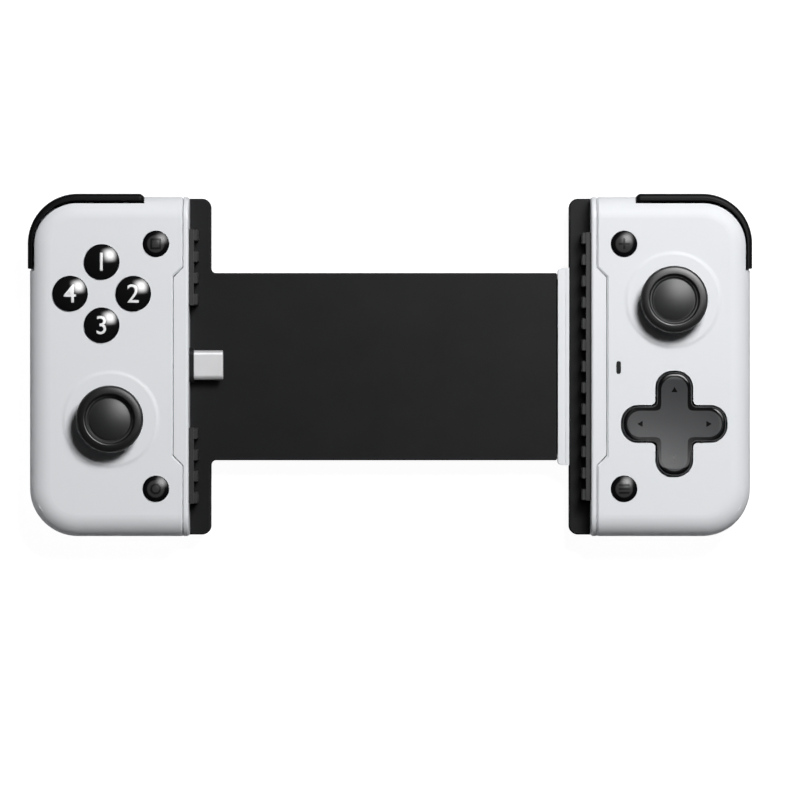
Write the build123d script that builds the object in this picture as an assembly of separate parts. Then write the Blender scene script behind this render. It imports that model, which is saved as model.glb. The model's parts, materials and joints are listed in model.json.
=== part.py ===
"""Stretch-out game controller for a phone: two grips joined by a telescoping bridge.

The controller lies on its back. X runs along it, from the plug grip (left, -X) to
the sliding grip (right, +X), Y runs up the grips to the shoulder buttons, and Z points
from the table to the player. The origin is on the table, midway between the grips.
All sizes are in millimetres. Each grip is drawn on the right, at +X, and the left
one's pieces are mirrored over the YZ plane.
"""
from build123d import *
import math
import os

# Whole controller, pushed together
half_length = 100.0
grip_height = 94.2
grip_width = 44.25
grip_depth = 21.5
outer_corner = 13.3
front_edge_radius = 6.0
back_edge_radius = 5.0
inner_edge_radius = 0.7
wall = 1.8
overrun = 1.0

# Fits and gaps
seam_gap = 0.2
seam_bevel = 0.45
flat_clearance = 0.2
button_clearance = 0.2
turning_clearance = 0.1
seat_gap = 0.1

# Where the front shell and the back shell meet
parting_height = 10.8

# End cover on each grip's inner side, with a wider tab on the player's face
cover_thickness = 1.45
cover_tab_width = 4.15
cover_tab_half = 24.6
cover_tab_slope = 2.8
cover_lip_depth = 1.4
cover_lip_wall = 1.2

# Screw pillars, four to a grip, as places from the grip's inner side and its middle
pillar_inner_place = 5.75
pillar_outer_place = 38.75
pillar_side_place = 39.25
pillar_end_inset = 5.1
pillar_low_inset = 9.1
pillar_middle = 3.0
pillar_radius = 2.8
screw_hole_radius = 1.1
screw_radius = 1.0
screw_head_radius = 2.0
screw_head_height = 1.4
counterbore_radius = 2.25
counterbore_depth = 3.0
screw_length = 12.0
hex_socket = 0.75
hex_socket_depth = 0.8

# Circuit boards
board_bottom = 7.0
board_thickness = 1.2
board_inset = 1.2
board_shoulder_inset = 15.6
chip_place = 19.0
chip_inset = 8.6
chip_length = 6.0
chip_thickness = 1.0
socket_length = 8.0
socket_width = 2.6
socket_height = 2.2
switch_body = 4.0
switch_height = 1.8
switch_stem_radius = 0.9
switch_stem_height = 0.9

# Round face buttons, four in a diamond on the left grip
face_button_radius = 4.75
face_button_spread = 8.75
face_cluster_place = 24.05
face_cluster_share = 0.428
face_button_rim = 0.7
face_button_crown = 2.0
button_flange = 0.95
button_flange_thickness = 0.8
plunger_radius = 2.6
button_key_width = 1.6

# Small round buttons, two on each grip
small_button_radius = 3.5
small_button_place = 9.05
small_button_inset = 13.2
small_button_rim = 0.4
small_button_crown = 1.3
small_button_travel = 0.6
small_plunger_radius = 1.5

# Rubber sheets with collapsing domes under the buttons
membrane_thickness = 0.8
membrane_dome_height = 3.2
membrane_dome_foot = 3.5
membrane_dome_top = 2.5
membrane_margin = 0.6

# Thumb sticks
left_stick_place = 21.55
left_stick_share = 0.31
right_stick_place = 22.65
right_stick_share = 0.391
stick_pivot = 12.5
stick_hole_radius = 8.7
mound_radius = 13.6
mound_step = 0.06
mound_crest = 0.3
mound_edge_width = 1.2
stick_cap_radius = 9.3
stick_cap_underside = 26.5
stick_cap_thickness = 2.5
stick_rim_inner = 6.6
stick_rim_fall = 0.5
stick_rim_crest = 7.2
stick_rim_edge = 8.75
stick_rim_edge_drop = 0.2
stick_dish_radius = 5.6
stick_dish_depth = 1.2
stick_dish_crown = 0.9
stick_groove_depth = 0.4
stick_groove_floor = 0.2
stick_ledge_width = 0.3
stick_cap_taper = 0.5
stick_neck_radius = 4.2
stick_dome_radius = 10.4
stick_dome_wall = 1.0
stick_dome_angle = 70.0
stick_post_radius = 1.8
stick_post_foot = 2.4
stick_module_half = 6.0
stick_module_wall = 1.0
stick_module_top = 1.5
gimbal_ring_half = 4.6
gimbal_ring_wall = 1.1
gimbal_half_height = 1.2
gimbal_pin_radius = 0.8
carrier_half = 2.8
sensor_width = 2.2
sensor_length = 8.0
sensor_height = 3.0

# Direction pad on the right grip
pad_place = 22.95
pad_share = 0.338
pad_span = 28.6
pad_arm = 9.6
pad_end_radius = 4.3
pad_inner_radius = 1.3
pad_clearance = 0.45
pad_crown = 1.5
pad_edge_radius = 1.0
pad_dish_depth = 0.6
pad_lip = 0.9
pad_plate_radius = 9.0
pad_plate_thickness = 0.8
pad_plate_drop = 1.4
pad_plunger_radius = 1.8
pad_plunger_place = 10.4
pad_pivot_drop = 1.8
pad_ball_radius = 1.5
pad_post_radius = 2.4

# Status light window on the right grip
light_place = 7.55
light_height = -0.3
light_width = 1.1
light_length = 3.4

# Shoulder bumpers: bands round each grip's top outer corner
bumper_proud = 0.8
bumper_side_proud = 0.45
bumper_top_band = 1.9
bumper_side_band = 1.4
bumper_swing_gap = 0.85
bumper_side_gap = 0.6
bumper_start = 12.55
bumper_side_length = 19.9
bumper_end_gap = 0.6
bumper_end_radius = 1.3
bumper_front_inset = 1.9
bumper_edge_radius = 1.2
bumper_corner = 13.8
bumper_ear_length = 4.6
bumper_ear_share = 0.449
bumper_ear_reach = 5.6
bumper_ear_rise_share = 0.27
bumper_pin_radius = 0.75
bumper_nub_place = 30.25
bumper_nub_width = 3.0
bumper_nub_share = 0.337
shoulder_switch_length = 6.0
shoulder_switch_depth = 2.4
shoulder_switch_share = 0.449
shoulder_switch_gap = 0.9

# Triggers behind the bumpers
trigger_inner_place = 13.75
trigger_outer_place = 37.75
trigger_pivot_in = 8.6
trigger_pivot_height = 8.3
trigger_drum = 6.0
trigger_drum_angle = 45.0
trigger_top_gap = 0.5
trigger_face_inset = 0.3
trigger_low_inset = 1.6
trigger_low_height = 3.2
trigger_dish = 0.7
trigger_pin_radius = 1.0
trigger_side_gap = 0.4
trigger_rib_thickness = 1.7
trigger_rib_reach = 3.0
trigger_spring_length = 3.4
trigger_spring_radius = 2.2

# Bridge: a sleeve on the left grip, and a tongue on the right grip that runs in it
bridge_half_width = 26.1
bridge_top = 10.8
bridge_bottom = 4.6
bridge_skin = 1.3
bridge_side_wall = 1.6
bridge_corner = 0.6
bridge_edge = 0.4
flange_depth = 5.85
flange_setback = 0.3
flange_corner = 2.4
flange_fillet = 1.4
sleeve_end_wall = 2.4
tongue_stop_gap = 2.5
tongue_slot_half = 6.6
spring_slot_middle = 11.5
spring_slot_width = 4.4
spring_slot_share = 0.128
bridge_spring_radius = 1.3
bridge_spring_wall = 0.5
ribbon_width = 9.0
ribbon_thickness = 0.3
ribbon_layer = 0.9
ribbon_fold_share = 0.256
ribbon_return_share = 0.513

# Collar round the sleeve's mouth, and the flange piece behind it, on the right grip
collar_margin = 1.4
collar_length = 3.1
collar_rise = 0.8
collar_corner = 1.2
collar_edge = 0.5
collar_groove_place = 1.8
collar_groove_width = 0.35
collar_groove_depth = 0.4
tray_rise = 0.4

# Rubber pads that the phone's ends press on
pad_block_pitch = 5.92
pad_block_length = 3.25
pad_block_depth = 1.25
pad_base_depth = 1.35
pad_top = 19.2
pad_base_top = 19.8
pad_block_count = 13
pad_block_corner = 0.5
pad_block_edge = 0.25
left_pad_blocks = 4
left_pad_shift = 0.85
pad_foot_gap = 0.1

# Screws that tie each end cover to the bridge
tie_screw_inner_inset = 6.1
tie_screw_outer_inset = 9.1
tie_screw_height = 7.7
tie_screw_long = 10.2
tie_screw_short = 6.0

# Plug
plug_width = 8.25
plug_thickness = 2.5
plug_wall = 0.35
plug_mouth_radius = 0.3
plug_length = 6.65
plug_reach = 9.35
plug_height = 14.8
plug_offset = 0.4
plug_tongue_width = 6.2
plug_tongue_thickness = 0.7
plug_tongue_setback = 1.2
plug_collar_depth = 1.3
plug_collar_width = 9.6
plug_collar_height = 3.9
plug_body_depth = 4.0

# Places that follow from the sizes above
grip_inner = half_length - grip_width
grip_half = grip_height / 2
cavity_top = grip_depth - wall
board_top = board_bottom + board_thickness
button_seat = cavity_top - seat_gap
cover_seam = grip_inner + cover_thickness
board_shoulder = grip_half - board_shoulder_inset
face_cluster = (grip_inner + face_cluster_place, grip_half * face_cluster_share)
left_stick = (grip_inner + left_stick_place, -grip_half * left_stick_share)
right_stick = (grip_inner + right_stick_place, grip_half * right_stick_share)
plunger_foot = board_top + membrane_thickness + membrane_dome_height + seat_gap
trigger_pivot_y = grip_half - trigger_pivot_in
bumper_band_y = grip_half - bumper_top_band
bumper_band_x = half_length - bumper_side_band
bumper_end_height = grip_half - bumper_side_length
bumper_pin = (grip_inner + bumper_start + bumper_ear_length / 2, bumper_band_y - bumper_ear_reach / 2)
bumper_front = grip_depth - bumper_front_inset
shoulder_room = cavity_top - parting_height
bumper_ear_bottom = parting_height + shoulder_room * bumper_ear_rise_share
bumper_ear_height = shoulder_room * bumper_ear_share
bumper_nub_height = shoulder_room * bumper_nub_share
shoulder_switch_height = shoulder_room * shoulder_switch_share
pad_centre = (grip_inner + pad_place, -grip_half * pad_share)
pad_pivot = cavity_top - pad_pivot_drop
sleeve_floor = bridge_bottom + bridge_skin
sleeve_roof = bridge_top - bridge_skin
flange_front = grip_inner - flange_depth
collar_half = bridge_half_width + collar_margin
flange_half = grip_half - flange_setback
bridge_end = flange_front - collar_length
sleeve_inner_end = flange_front - sleeve_end_wall
tongue_start = sleeve_inner_end - tongue_stop_gap
spring_slot_end = bridge_end * spring_slot_share
ribbon_fold_place = bridge_end * ribbon_fold_share
ribbon_return_place = bridge_end * ribbon_return_share
chamfer_share = 2 - math.sqrt(2)


def block(x0, x1, y0, y1, z0, z1):
    """Box between two corners."""
    return Pos((x0 + x1) / 2, (y0 + y1) / 2, (z0 + z1) / 2) * Box(x1 - x0, y1 - y0, z1 - z0)


def rod(place, z0, z1, radius):
    """Round bar that stands at a place in plan."""
    return Pos(place[0], place[1], (z0 + z1) / 2) * Cylinder(radius, z1 - z0)


def rod_x(x0, x1, y, z, radius):
    """Round bar along X."""
    return Pos((x0 + x1) / 2, y, z) * Rot(0, 90, 0) * Cylinder(radius, x1 - x0)


def rod_y(x, y0, y1, z, radius):
    """Round bar along Y."""
    return Pos(x, (y0 + y1) / 2, z) * Rot(90, 0, 0) * Cylinder(radius, y1 - y0)


def slab(outline, z0, z1):
    """Plan outline raised from one height to another."""
    return Pos(0, 0, z0) * extrude(outline, z1 - z0)


def turned(place, lines):
    """Solid of revolution about an upright axis, from its closed profile of (radius, height)."""
    return Pos(place[0], place[1], 0) * revolve(Plane.XZ * make_face(lines), Axis.Z)


def mirrored(shape):
    """The same piece on the left grip."""
    return mirror(shape, about=Plane.YZ)


def corner_outline(side_x, top_y, corner, start_x=0.0):
    """Plan area from start_x out to side_x, even about the X axis, with round outer corners."""
    width = side_x - start_x
    area = Pos(start_x + width / 2, 0) * Rectangle(width, 2 * top_y)
    return fillet(area.vertices().group_by(Axis.X)[-1], corner)


def rounded_area(x0, x1, half, corner, corners="all"):
    """Rectangle in plan with round corners, on every corner or only on its low or high X side."""
    area = Pos((x0 + x1) / 2, 0) * Rectangle(x1 - x0, 2 * half)
    rows = area.vertices().group_by(Axis.X)
    picked = {"all": area.vertices(), "low": rows[0], "high": rows[-1]}[corners]
    return fillet(picked, corner)


# Grip housings
def grip_envelope(inset=0.0):
    """Outside form of a grip, or inside it the same form with flat-cornered edges as a cavity."""
    plan = corner_outline(half_length - inset, grip_half - inset, outer_corner - inset, grip_inner)
    body = slab(plan, inset, grip_depth - inset)
    front = body.faces().sort_by(Axis.Z)[-1].edges().sort_by(Axis.X)[1:]
    if inset > 0:
        body = chamfer(front, (front_edge_radius - inset) * chamfer_share)
    else:
        body = fillet(front, front_edge_radius)
    back = body.faces().sort_by(Axis.Z)[0].edges().sort_by(Axis.X)[1:]
    if inset > 0:
        return chamfer(back, (back_edge_radius - inset) * chamfer_share)
    return fillet(back, back_edge_radius)


def tab_area(growth=0.0):
    """Plan of the end cover's tab on the player's face, with sloping ends."""
    out = grip_inner + cover_tab_width + growth
    low = cover_seam - overrun
    run = cover_tab_slope + (cover_seam - low) * cover_tab_slope / (cover_tab_width - cover_thickness)
    half = cover_tab_half + growth
    return make_face(Polyline((low, -half - run), (out, -half), (out, half), (low, half + run), close=True))


def pillar_places():
    """Centres of the four screw pillars of a right-hand grip."""
    return (
        (grip_inner + pillar_inner_place, grip_half - pillar_end_inset),
        (grip_inner + pillar_inner_place, pillar_end_inset - grip_half),
        (grip_inner + pillar_outer_place, pillar_low_inset - grip_half),
        (grip_inner + pillar_side_place, pillar_middle),
    )


def trigger_window(gap=0.0):
    """Room that a trigger takes out of the back shell."""
    x0 = grip_inner + trigger_inner_place - gap
    x1 = grip_inner + trigger_outer_place + gap
    return block(x0, x1, trigger_pivot_y - gap, grip_half + overrun, -overrun, parting_height + overrun)


def bumper_notch():
    """Step in the front shell's top outer corner that a bumper sits in."""
    start = grip_inner + bumper_start - flat_clearance
    area = block(
        start, half_length + overrun, bumper_end_height - bumper_end_gap, grip_half + overrun,
        parting_height - overrun, grip_depth + overrun,
    )
    kept = corner_outline(bumper_band_x, bumper_band_y, outer_corner - bumper_side_band)
    return area - slab(kept, parting_height - 2 * overrun, grip_depth + 2 * overrun)


def stick_mound(place):
    """Raised ring of the front shell round a thumb stick."""
    top = grip_depth + mound_crest
    low = grip_depth + mound_step
    crest = mound_radius - mound_edge_width
    turn = ((mound_radius + crest) / 2, (low + top) / 2)
    lines = Curve() + [
        Polyline(
            (stick_hole_radius - overrun, cavity_top), (mound_radius, cavity_top), (mound_radius, low)
        ),
        TangentArc((mound_radius, low), turn, tangent=(-1, 0)),
        TangentArc((crest, top), turn, tangent=(1, 0)),
        Line((crest, top), (stick_hole_radius - overrun, top)),
        Line((stick_hole_radius - overrun, top), (stick_hole_radius - overrun, cavity_top)),
    ]
    return turned(place, lines)


def pad_cross(growth=0.0):
    """Plan of the direction pad: a plus with round ends."""
    span = pad_span + 2 * growth
    arm = pad_arm + 2 * growth
    end = pad_end_radius + growth
    bar = RectangleRounded(span, arm, end)
    cross = bar + Rot(0, 0, 90) * bar
    inner = cross.vertices().sort_by_distance((0, 0))[:4]
    cross = fillet(inner, pad_inner_radius)
    return Pos(pad_centre[0], pad_centre[1]) * cross


def front_shell(holes, stick_place, extra_cuts):
    """Front half of a grip's housing, open at its inner side, with its pillars and openings."""
    top = grip_depth + overrun
    shell = grip_envelope() - grip_envelope(wall)
    shell += stick_mound(stick_place)
    shell -= block(
        grip_inner - overrun, half_length + overrun, -grip_half - overrun, grip_half + overrun,
        -overrun, parting_height + seam_gap,
    )
    shell -= bumper_notch()
    inner_wall = grip_envelope(0.0) & slab(
        corner_outline(bumper_band_x, bumper_band_y, outer_corner - bumper_side_band, grip_inner)
        - corner_outline(
            bumper_band_x - wall, bumper_band_y - wall, outer_corner - bumper_side_band - wall, grip_inner
        ),
        parting_height + seam_gap, cavity_top,
    )
    inner_wall &= block(
        grip_inner + bumper_start - wall, half_length + overrun,
        bumper_end_height - bumper_end_gap - wall, grip_half,
        0, top,
    )
    shell += inner_wall
    for place in pillar_places():
        shell += rod(place, parting_height, cavity_top + seat_gap, pillar_radius)
        shell -= rod(place, 0, counterbore_depth + screw_length + seat_gap, screw_hole_radius)
    shell += bumper_lugs() & grip_envelope(wall / 2)
    shell -= rod(bumper_pin, parting_height, cavity_top - wall / 2, bumper_pin_radius)
    shell -= bumper_windows()
    for place, radius in holes:
        shell -= rod(place, cavity_top - overrun, top, radius)
    shell -= rod(stick_place, cavity_top - overrun, top + mound_crest, stick_hole_radius)
    for cut in extra_cuts:
        shell -= cut
    shell -= block(
        grip_inner - overrun, cover_seam + seam_gap, -grip_half - overrun, grip_half + overrun, 0, top
    )
    shell -= slab(tab_area(seam_gap), cavity_top - overrun, top)
    tab_end = grip_inner + cover_tab_width + seam_gap
    seam = [
        edge for edge in shell.edges().filter_by(GeomType.LINE)
        if edge.center().Z > grip_depth - seat_gap and edge.center().X < tab_end + seat_gap
    ]
    return chamfer(seam, seam_bevel)


def bumper_lugs():
    """Two lugs inside the front shell that hold the bumper's pin, and the rib behind its switch."""
    x0 = grip_inner + bumper_start - wall
    x1 = x0 + bumper_ear_length + 2 * wall
    y0 = bumper_pin[1] - 2 * bumper_pin_radius - wall / 2
    ear_top = bumper_ear_bottom + bumper_ear_height
    lower = block(x0, x1, y0, bumper_band_y, parting_height + seam_gap, bumper_ear_bottom - flat_clearance)
    upper = block(x0, x1, y0, bumper_band_y, ear_top + flat_clearance, cavity_top + seat_gap)
    switch = shoulder_switch_box()
    rib = block(switch[0], switch[1], switch[2], switch[3], switch[5], cavity_top + seat_gap)
    return lower + upper + rib


def bumper_windows():
    """Openings in the front shell's wall for the bumper's ear and its nub."""
    x0 = grip_inner + bumper_start - flat_clearance
    ear_top = bumper_ear_bottom + bumper_ear_height + flat_clearance
    ear_back = bumper_band_y - bumper_ear_reach - 2 * flat_clearance
    ear = block(
        x0, x0 + bumper_ear_length + 2 * flat_clearance, ear_back, grip_half,
        bumper_ear_bottom - flat_clearance, ear_top,
    )
    nub_x = grip_inner + bumper_nub_place
    half = bumper_nub_width / 2 + 2 * flat_clearance
    nub = block(
        nub_x - half, nub_x + half, bumper_band_y - 2 * wall, grip_half,
        bumper_ear_bottom - flat_clearance, bumper_ear_bottom + bumper_nub_height + flat_clearance,
    )
    return ear + nub


def shoulder_switch_box():
    """Corners of the small switch behind the bumper: x, x, y, y, z, z."""
    x = grip_inner + bumper_nub_place
    back = bumper_band_y - wall - shoulder_switch_gap - shoulder_switch_depth
    middle = bumper_ear_bottom + bumper_nub_height / 2
    return (
        x - shoulder_switch_length / 2, x + shoulder_switch_length / 2,
        back, back + shoulder_switch_depth,
        middle - shoulder_switch_height / 2, middle + shoulder_switch_height / 2,
    )


def back_shell(extra_post=None):
    """Back half of a grip's housing, with the trigger's window, its pin ribs and the pillars."""
    shell = grip_envelope() - grip_envelope(wall)
    shell -= block(
        grip_inner - overrun, half_length + overrun, -grip_half - overrun, grip_half + overrun,
        parting_height, grip_depth + overrun,
    )
    shell -= block(
        grip_inner - overrun, cover_seam + seam_gap, -grip_half - overrun, grip_half + overrun,
        -overrun, grip_depth,
    )
    shell -= trigger_window(trigger_side_gap)
    for x in (
        grip_inner + trigger_inner_place - trigger_side_gap - trigger_rib_thickness,
        grip_inner + trigger_outer_place + trigger_side_gap,
    ):
        rib = block(
            x, x + trigger_rib_thickness, trigger_pivot_y - trigger_rib_reach,
            trigger_pivot_y + trigger_rib_reach, wall - seat_gap, parting_height,
        )
        shell += rib & grip_envelope(wall / 2)
    pin_x0 = grip_inner + trigger_inner_place - trigger_side_gap - trigger_rib_thickness / 2
    pin_x1 = grip_inner + trigger_outer_place + trigger_side_gap + trigger_rib_thickness / 2
    shell -= rod_x(pin_x0, pin_x1, trigger_pivot_y, trigger_pivot_height, trigger_pin_radius)
    for place in pillar_places():
        shell += rod(place, wall - seat_gap, parting_height, pillar_radius)
        shell -= rod(place, -overrun, parting_height + overrun, screw_hole_radius)
        shell -= rod(place, -overrun, counterbore_depth, counterbore_radius)
    if extra_post is not None:
        shell += extra_post
    return shell


def end_cover(window=None):
    """Cap on a grip's inner side, with its face tab, a locating lip and the tie screws' holes."""
    form = grip_envelope()
    rim = form.faces().sort_by(Axis.X)[0].edges()
    form = fillet(rim, inner_edge_radius)
    cap = form & block(
        grip_inner - overrun, cover_seam, -grip_half - overrun, grip_half + overrun,
        -overrun, grip_depth + overrun,
    )
    cap += form & slab(tab_area(), cavity_top, grip_depth + overrun)
    lip_zone = block(
        cover_seam - seat_gap, cover_seam + cover_lip_depth, -grip_half, grip_half, 0, grip_depth
    )
    lip = grip_envelope(wall + seat_gap) - grip_envelope(wall + seat_gap + cover_lip_wall)
    cap += lip & lip_zone
    for y, _ in tie_places():
        cap -= rod_x(grip_inner - overrun, cover_seam + overrun, y, tie_screw_height, screw_hole_radius)
    if window is not None:
        cap -= window
    return cap


def tie_places():
    """Heights up the grip of the screws that tie cover and bridge, each with its length."""
    pairs = (
        (bridge_half_width - tie_screw_inner_inset, tie_screw_long),
        (grip_half - tie_screw_outer_inset, tie_screw_short),
    )
    return [(side * place, length) for place, length in pairs for side in (-1, 1)]


def screws():
    """Four housing screws, each with a hex socket in its head."""
    made = []
    for place in pillar_places():
        seat = counterbore_depth
        head = rod(place, seat - screw_head_height, seat, screw_head_radius)
        shank = rod(place, seat, seat + screw_length, screw_radius)
        socket = Pos(place[0], place[1], seat - screw_head_height) * extrude(
            RegularPolygon(hex_socket, 6), hex_socket_depth
        )
        made.append(head + shank - socket)
    return Compound(children=made)


def tie_screws():
    """Four screws along X from inside the grip, through its end cover, into the bridge."""
    made = []
    for y, length in tie_places():
        start = cover_seam
        shank = rod_x(start - length, start, y, tie_screw_height, screw_radius)
        head = rod_x(start, start + screw_head_height, y, tie_screw_height, screw_head_radius)
        made.append(shank + head)
    return Compound(children=made)


# Inside the grips
def circuit_board(switch_places, hole_places=()):
    """Board with its chip, ribbon socket and the switches under the small buttons."""
    x0 = cover_seam + cover_lip_depth + board_inset
    x1 = half_length - wall - board_inset
    outline = grip_envelope(wall + board_inset) & block(
        x0, x1, -grip_half, board_shoulder, board_bottom, board_top
    )
    board = outline
    for place in pillar_places():
        board -= rod(place, 0, grip_depth, pillar_radius + 2 * flat_clearance)
    chip_x = grip_inner + chip_place
    chip_y = chip_inset - grip_half
    board += block(
        chip_x, chip_x + chip_length, chip_y - chip_length / 2, chip_y + chip_length / 2,
        board_top, board_top + chip_thickness,
    )
    board += block(
        x0, x0 + socket_width, -socket_length / 2, socket_length / 2, board_top, board_top + socket_height
    )
    for place in switch_places:
        if place[1] > board_shoulder:
            half = switch_body / 2 + flat_clearance
            board += block(
                x0, place[0] + half, board_shoulder - overrun, place[1] + half, board_bottom, board_top
            )
    for place in switch_places:
        half = switch_body / 2
        board += block(
            place[0] - half, place[0] + half, place[1] - half, place[1] + half,
            board_top, board_top + switch_height,
        )
        stem_top = board_top + switch_height + switch_stem_height
        board += rod(place, board_top + switch_height, stem_top, switch_stem_radius)
    for place, radius in hole_places:
        board -= rod(place, 0, board_top + overrun, radius)
    for place in pillar_places()[:1]:
        board -= rod(place, 0, grip_depth, pillar_radius + 2 * flat_clearance)
    return board


def domed_button(place, radius, rim, crown, flange, foot_radius, foot, key=0.0):
    """Round button with a crowned top, a flange under the shell and a plunger."""
    edge = grip_depth + rim
    lines = Curve() + [
        Polyline(
            (0, grip_depth + crown), (0, foot), (foot_radius, foot),
            (foot_radius, button_seat - button_flange_thickness),
            (radius + flange, button_seat - button_flange_thickness), (radius + flange, button_seat),
            (radius, button_seat), (radius, edge),
        ),
        TangentArc((0, grip_depth + crown), (radius, edge), tangent=(1, 0)),
    ]
    button = turned(place, lines)
    if key > 0:
        reach = radius + flange + key / 2
        button += block(
            place[0] - reach, place[0] + reach, place[1] - key / 2, place[1] + key / 2,
            button_seat - button_flange_thickness, button_seat,
        )
    return button


def face_places():
    """Centres of the four face buttons by name, on the right before mirroring."""
    x, y = face_cluster
    return {
        "top": (x, y + face_button_spread),
        "bottom": (x, y - face_button_spread),
        "left": (x + face_button_spread, y),
        "right": (x - face_button_spread, y),
    }


def small_places():
    """Centres of a grip's two small buttons."""
    x = grip_inner + small_button_place
    y = grip_half - small_button_inset
    return {"upper": (x, y), "lower": (x, -y)}


def membrane(places, stem_hole=None):
    """Rubber sheet on the board with a hollow-looking dome under each plunger."""
    xs = [place[0] for place in places]
    ys = [place[1] for place in places]
    reach = membrane_dome_foot + membrane_margin
    top = board_top + membrane_thickness
    sheet = block(min(xs) - reach, max(xs) + reach, min(ys) - reach, max(ys) + reach, board_top, top)
    for place in places:
        dome = Pos(place[0], place[1], top + membrane_dome_height / 2) * Cone(
            membrane_dome_foot, membrane_dome_top, membrane_dome_height
        )
        sheet += dome
    if stem_hole is not None:
        sheet -= rod(stem_hole[0], 0, grip_depth, stem_hole[1])
    return sheet


# Thumb sticks
def stick_base(place):
    """Open box of a stick module with its two position sensors, soldered to the board."""
    x, y = place
    half = stick_module_half
    top = stick_pivot + stick_module_top
    box = block(x - half, x + half, y - half, y + half, board_top, top)
    inner = half - stick_module_wall
    box -= block(x - inner, x + inner, y - inner, y + inner, board_top + stick_module_wall, top + overrun)
    bore = gimbal_pin_radius + turning_clearance
    box -= rod_x(x - half - overrun, x + half + overrun, y, stick_pivot, bore)
    length = sensor_length / 2
    sensor_top = board_top + sensor_height
    box += block(x + half, x + half + sensor_width, y - length, y + length, board_top, sensor_top)
    box += block(x - length, x + length, y - half - sensor_width, y - half, board_top, sensor_top)
    return box


def stick_rocker(place):
    """Gimbal ring that tilts about X on two pins in the module's walls."""
    x, y = place
    outer = gimbal_ring_half
    inner = outer - gimbal_ring_wall
    low = stick_pivot - gimbal_half_height
    high = stick_pivot + gimbal_half_height
    ring = block(x - outer, x + outer, y - outer, y + outer, low, high)
    ring -= block(x - inner, x + inner, y - inner, y + inner, low - overrun, high + overrun)
    reach = stick_module_half - flat_clearance
    ring += rod_x(x - reach, x - outer + seat_gap, y, stick_pivot, gimbal_pin_radius)
    ring += rod_x(x + outer - seat_gap, x + reach, y, stick_pivot, gimbal_pin_radius)
    bore = gimbal_pin_radius + turning_clearance
    ring -= rod_y(x, y - outer - overrun, y + outer + overrun, stick_pivot, bore)
    return ring


def stick_carrier(place):
    """Block inside the ring that tilts about Y and guides the stick's post."""
    x, y = place
    half = carrier_half
    low = stick_pivot - gimbal_half_height
    high = stick_pivot + gimbal_half_height
    carrier = block(x - half, x + half, y - half, y + half, low, high)
    carrier += rod_y(x, y - gimbal_ring_half, y + gimbal_ring_half, stick_pivot, gimbal_pin_radius)
    return carrier - rod(place, low - overrun, high + overrun, stick_post_radius + turning_clearance)


def stick_post(place):
    """Steel post that slides in the carrier and holds the cap."""
    low = stick_pivot - stick_post_foot
    return rod(place, low, stick_cap_underside + seat_gap, stick_post_radius)


def stick_cap(place):
    """Thumb cap: raised rim, groove and crowned middle, its neck and the dust dome under the shell."""
    under = stick_cap_underside
    top = under + stick_cap_thickness
    rim_low = top - stick_dish_depth
    crown = rim_low + stick_dish_crown
    groove_low = rim_low - stick_groove_depth
    ledge = stick_rim_inner - stick_ledge_width
    shoulder = top - stick_rim_edge_drop
    outer_low = under + stick_cap_thickness / 2
    dome = stick_dome_radius
    inner_dome = dome - stick_dome_wall
    angle = math.radians(stick_dome_angle)
    neck_angle = math.asin(stick_neck_radius / dome)
    middle = (neck_angle + angle) / 2
    bore = stick_post_radius + seat_gap / 2
    bore_angle = math.asin(bore / inner_dome)
    inner_middle = (bore_angle + angle) / 2
    lines = Curve() + [
        TangentArc((0, crown), (stick_dish_radius, rim_low), tangent=(1, 0)),
        Polyline(
            (stick_dish_radius, rim_low), (stick_dish_radius, groove_low),
            (stick_dish_radius + stick_groove_floor, groove_low), (ledge, rim_low),
            (stick_rim_inner, rim_low), (stick_rim_inner, top - stick_rim_fall),
        ),
        TangentArc((stick_rim_crest, top), (stick_rim_inner, top - stick_rim_fall), tangent=(-1, 0)),
        TangentArc((stick_rim_crest, top), (stick_rim_edge, shoulder), tangent=(1, 0)),
        TangentArc((stick_cap_radius, outer_low), (stick_rim_edge, shoulder), tangent=(0, 1)),
        Polyline(
            (stick_cap_radius, outer_low), (stick_cap_radius - stick_cap_taper, under),
            (stick_neck_radius, under),
            (stick_neck_radius, stick_pivot + dome * math.cos(neck_angle)),
        ),
        ThreePointArc(
            (stick_neck_radius, stick_pivot + dome * math.cos(neck_angle)),
            (dome * math.sin(middle), stick_pivot + dome * math.cos(middle)),
            (dome * math.sin(angle), stick_pivot + dome * math.cos(angle)),
        ),
        Line(
            (dome * math.sin(angle), stick_pivot + dome * math.cos(angle)),
            (inner_dome * math.sin(angle), stick_pivot + inner_dome * math.cos(angle)),
        ),
        Polyline(
            (inner_dome * math.sin(angle), stick_pivot + inner_dome * math.cos(angle)),
            (inner_dome * math.sin(inner_middle), stick_pivot + inner_dome * math.cos(inner_middle)),
            (bore, stick_pivot + inner_dome * math.cos(bore_angle)),
            (bore, under + 2 * seat_gap), (0, under + 2 * seat_gap), (0, crown),
        ),
    ]
    return turned(place, lines)


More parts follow.
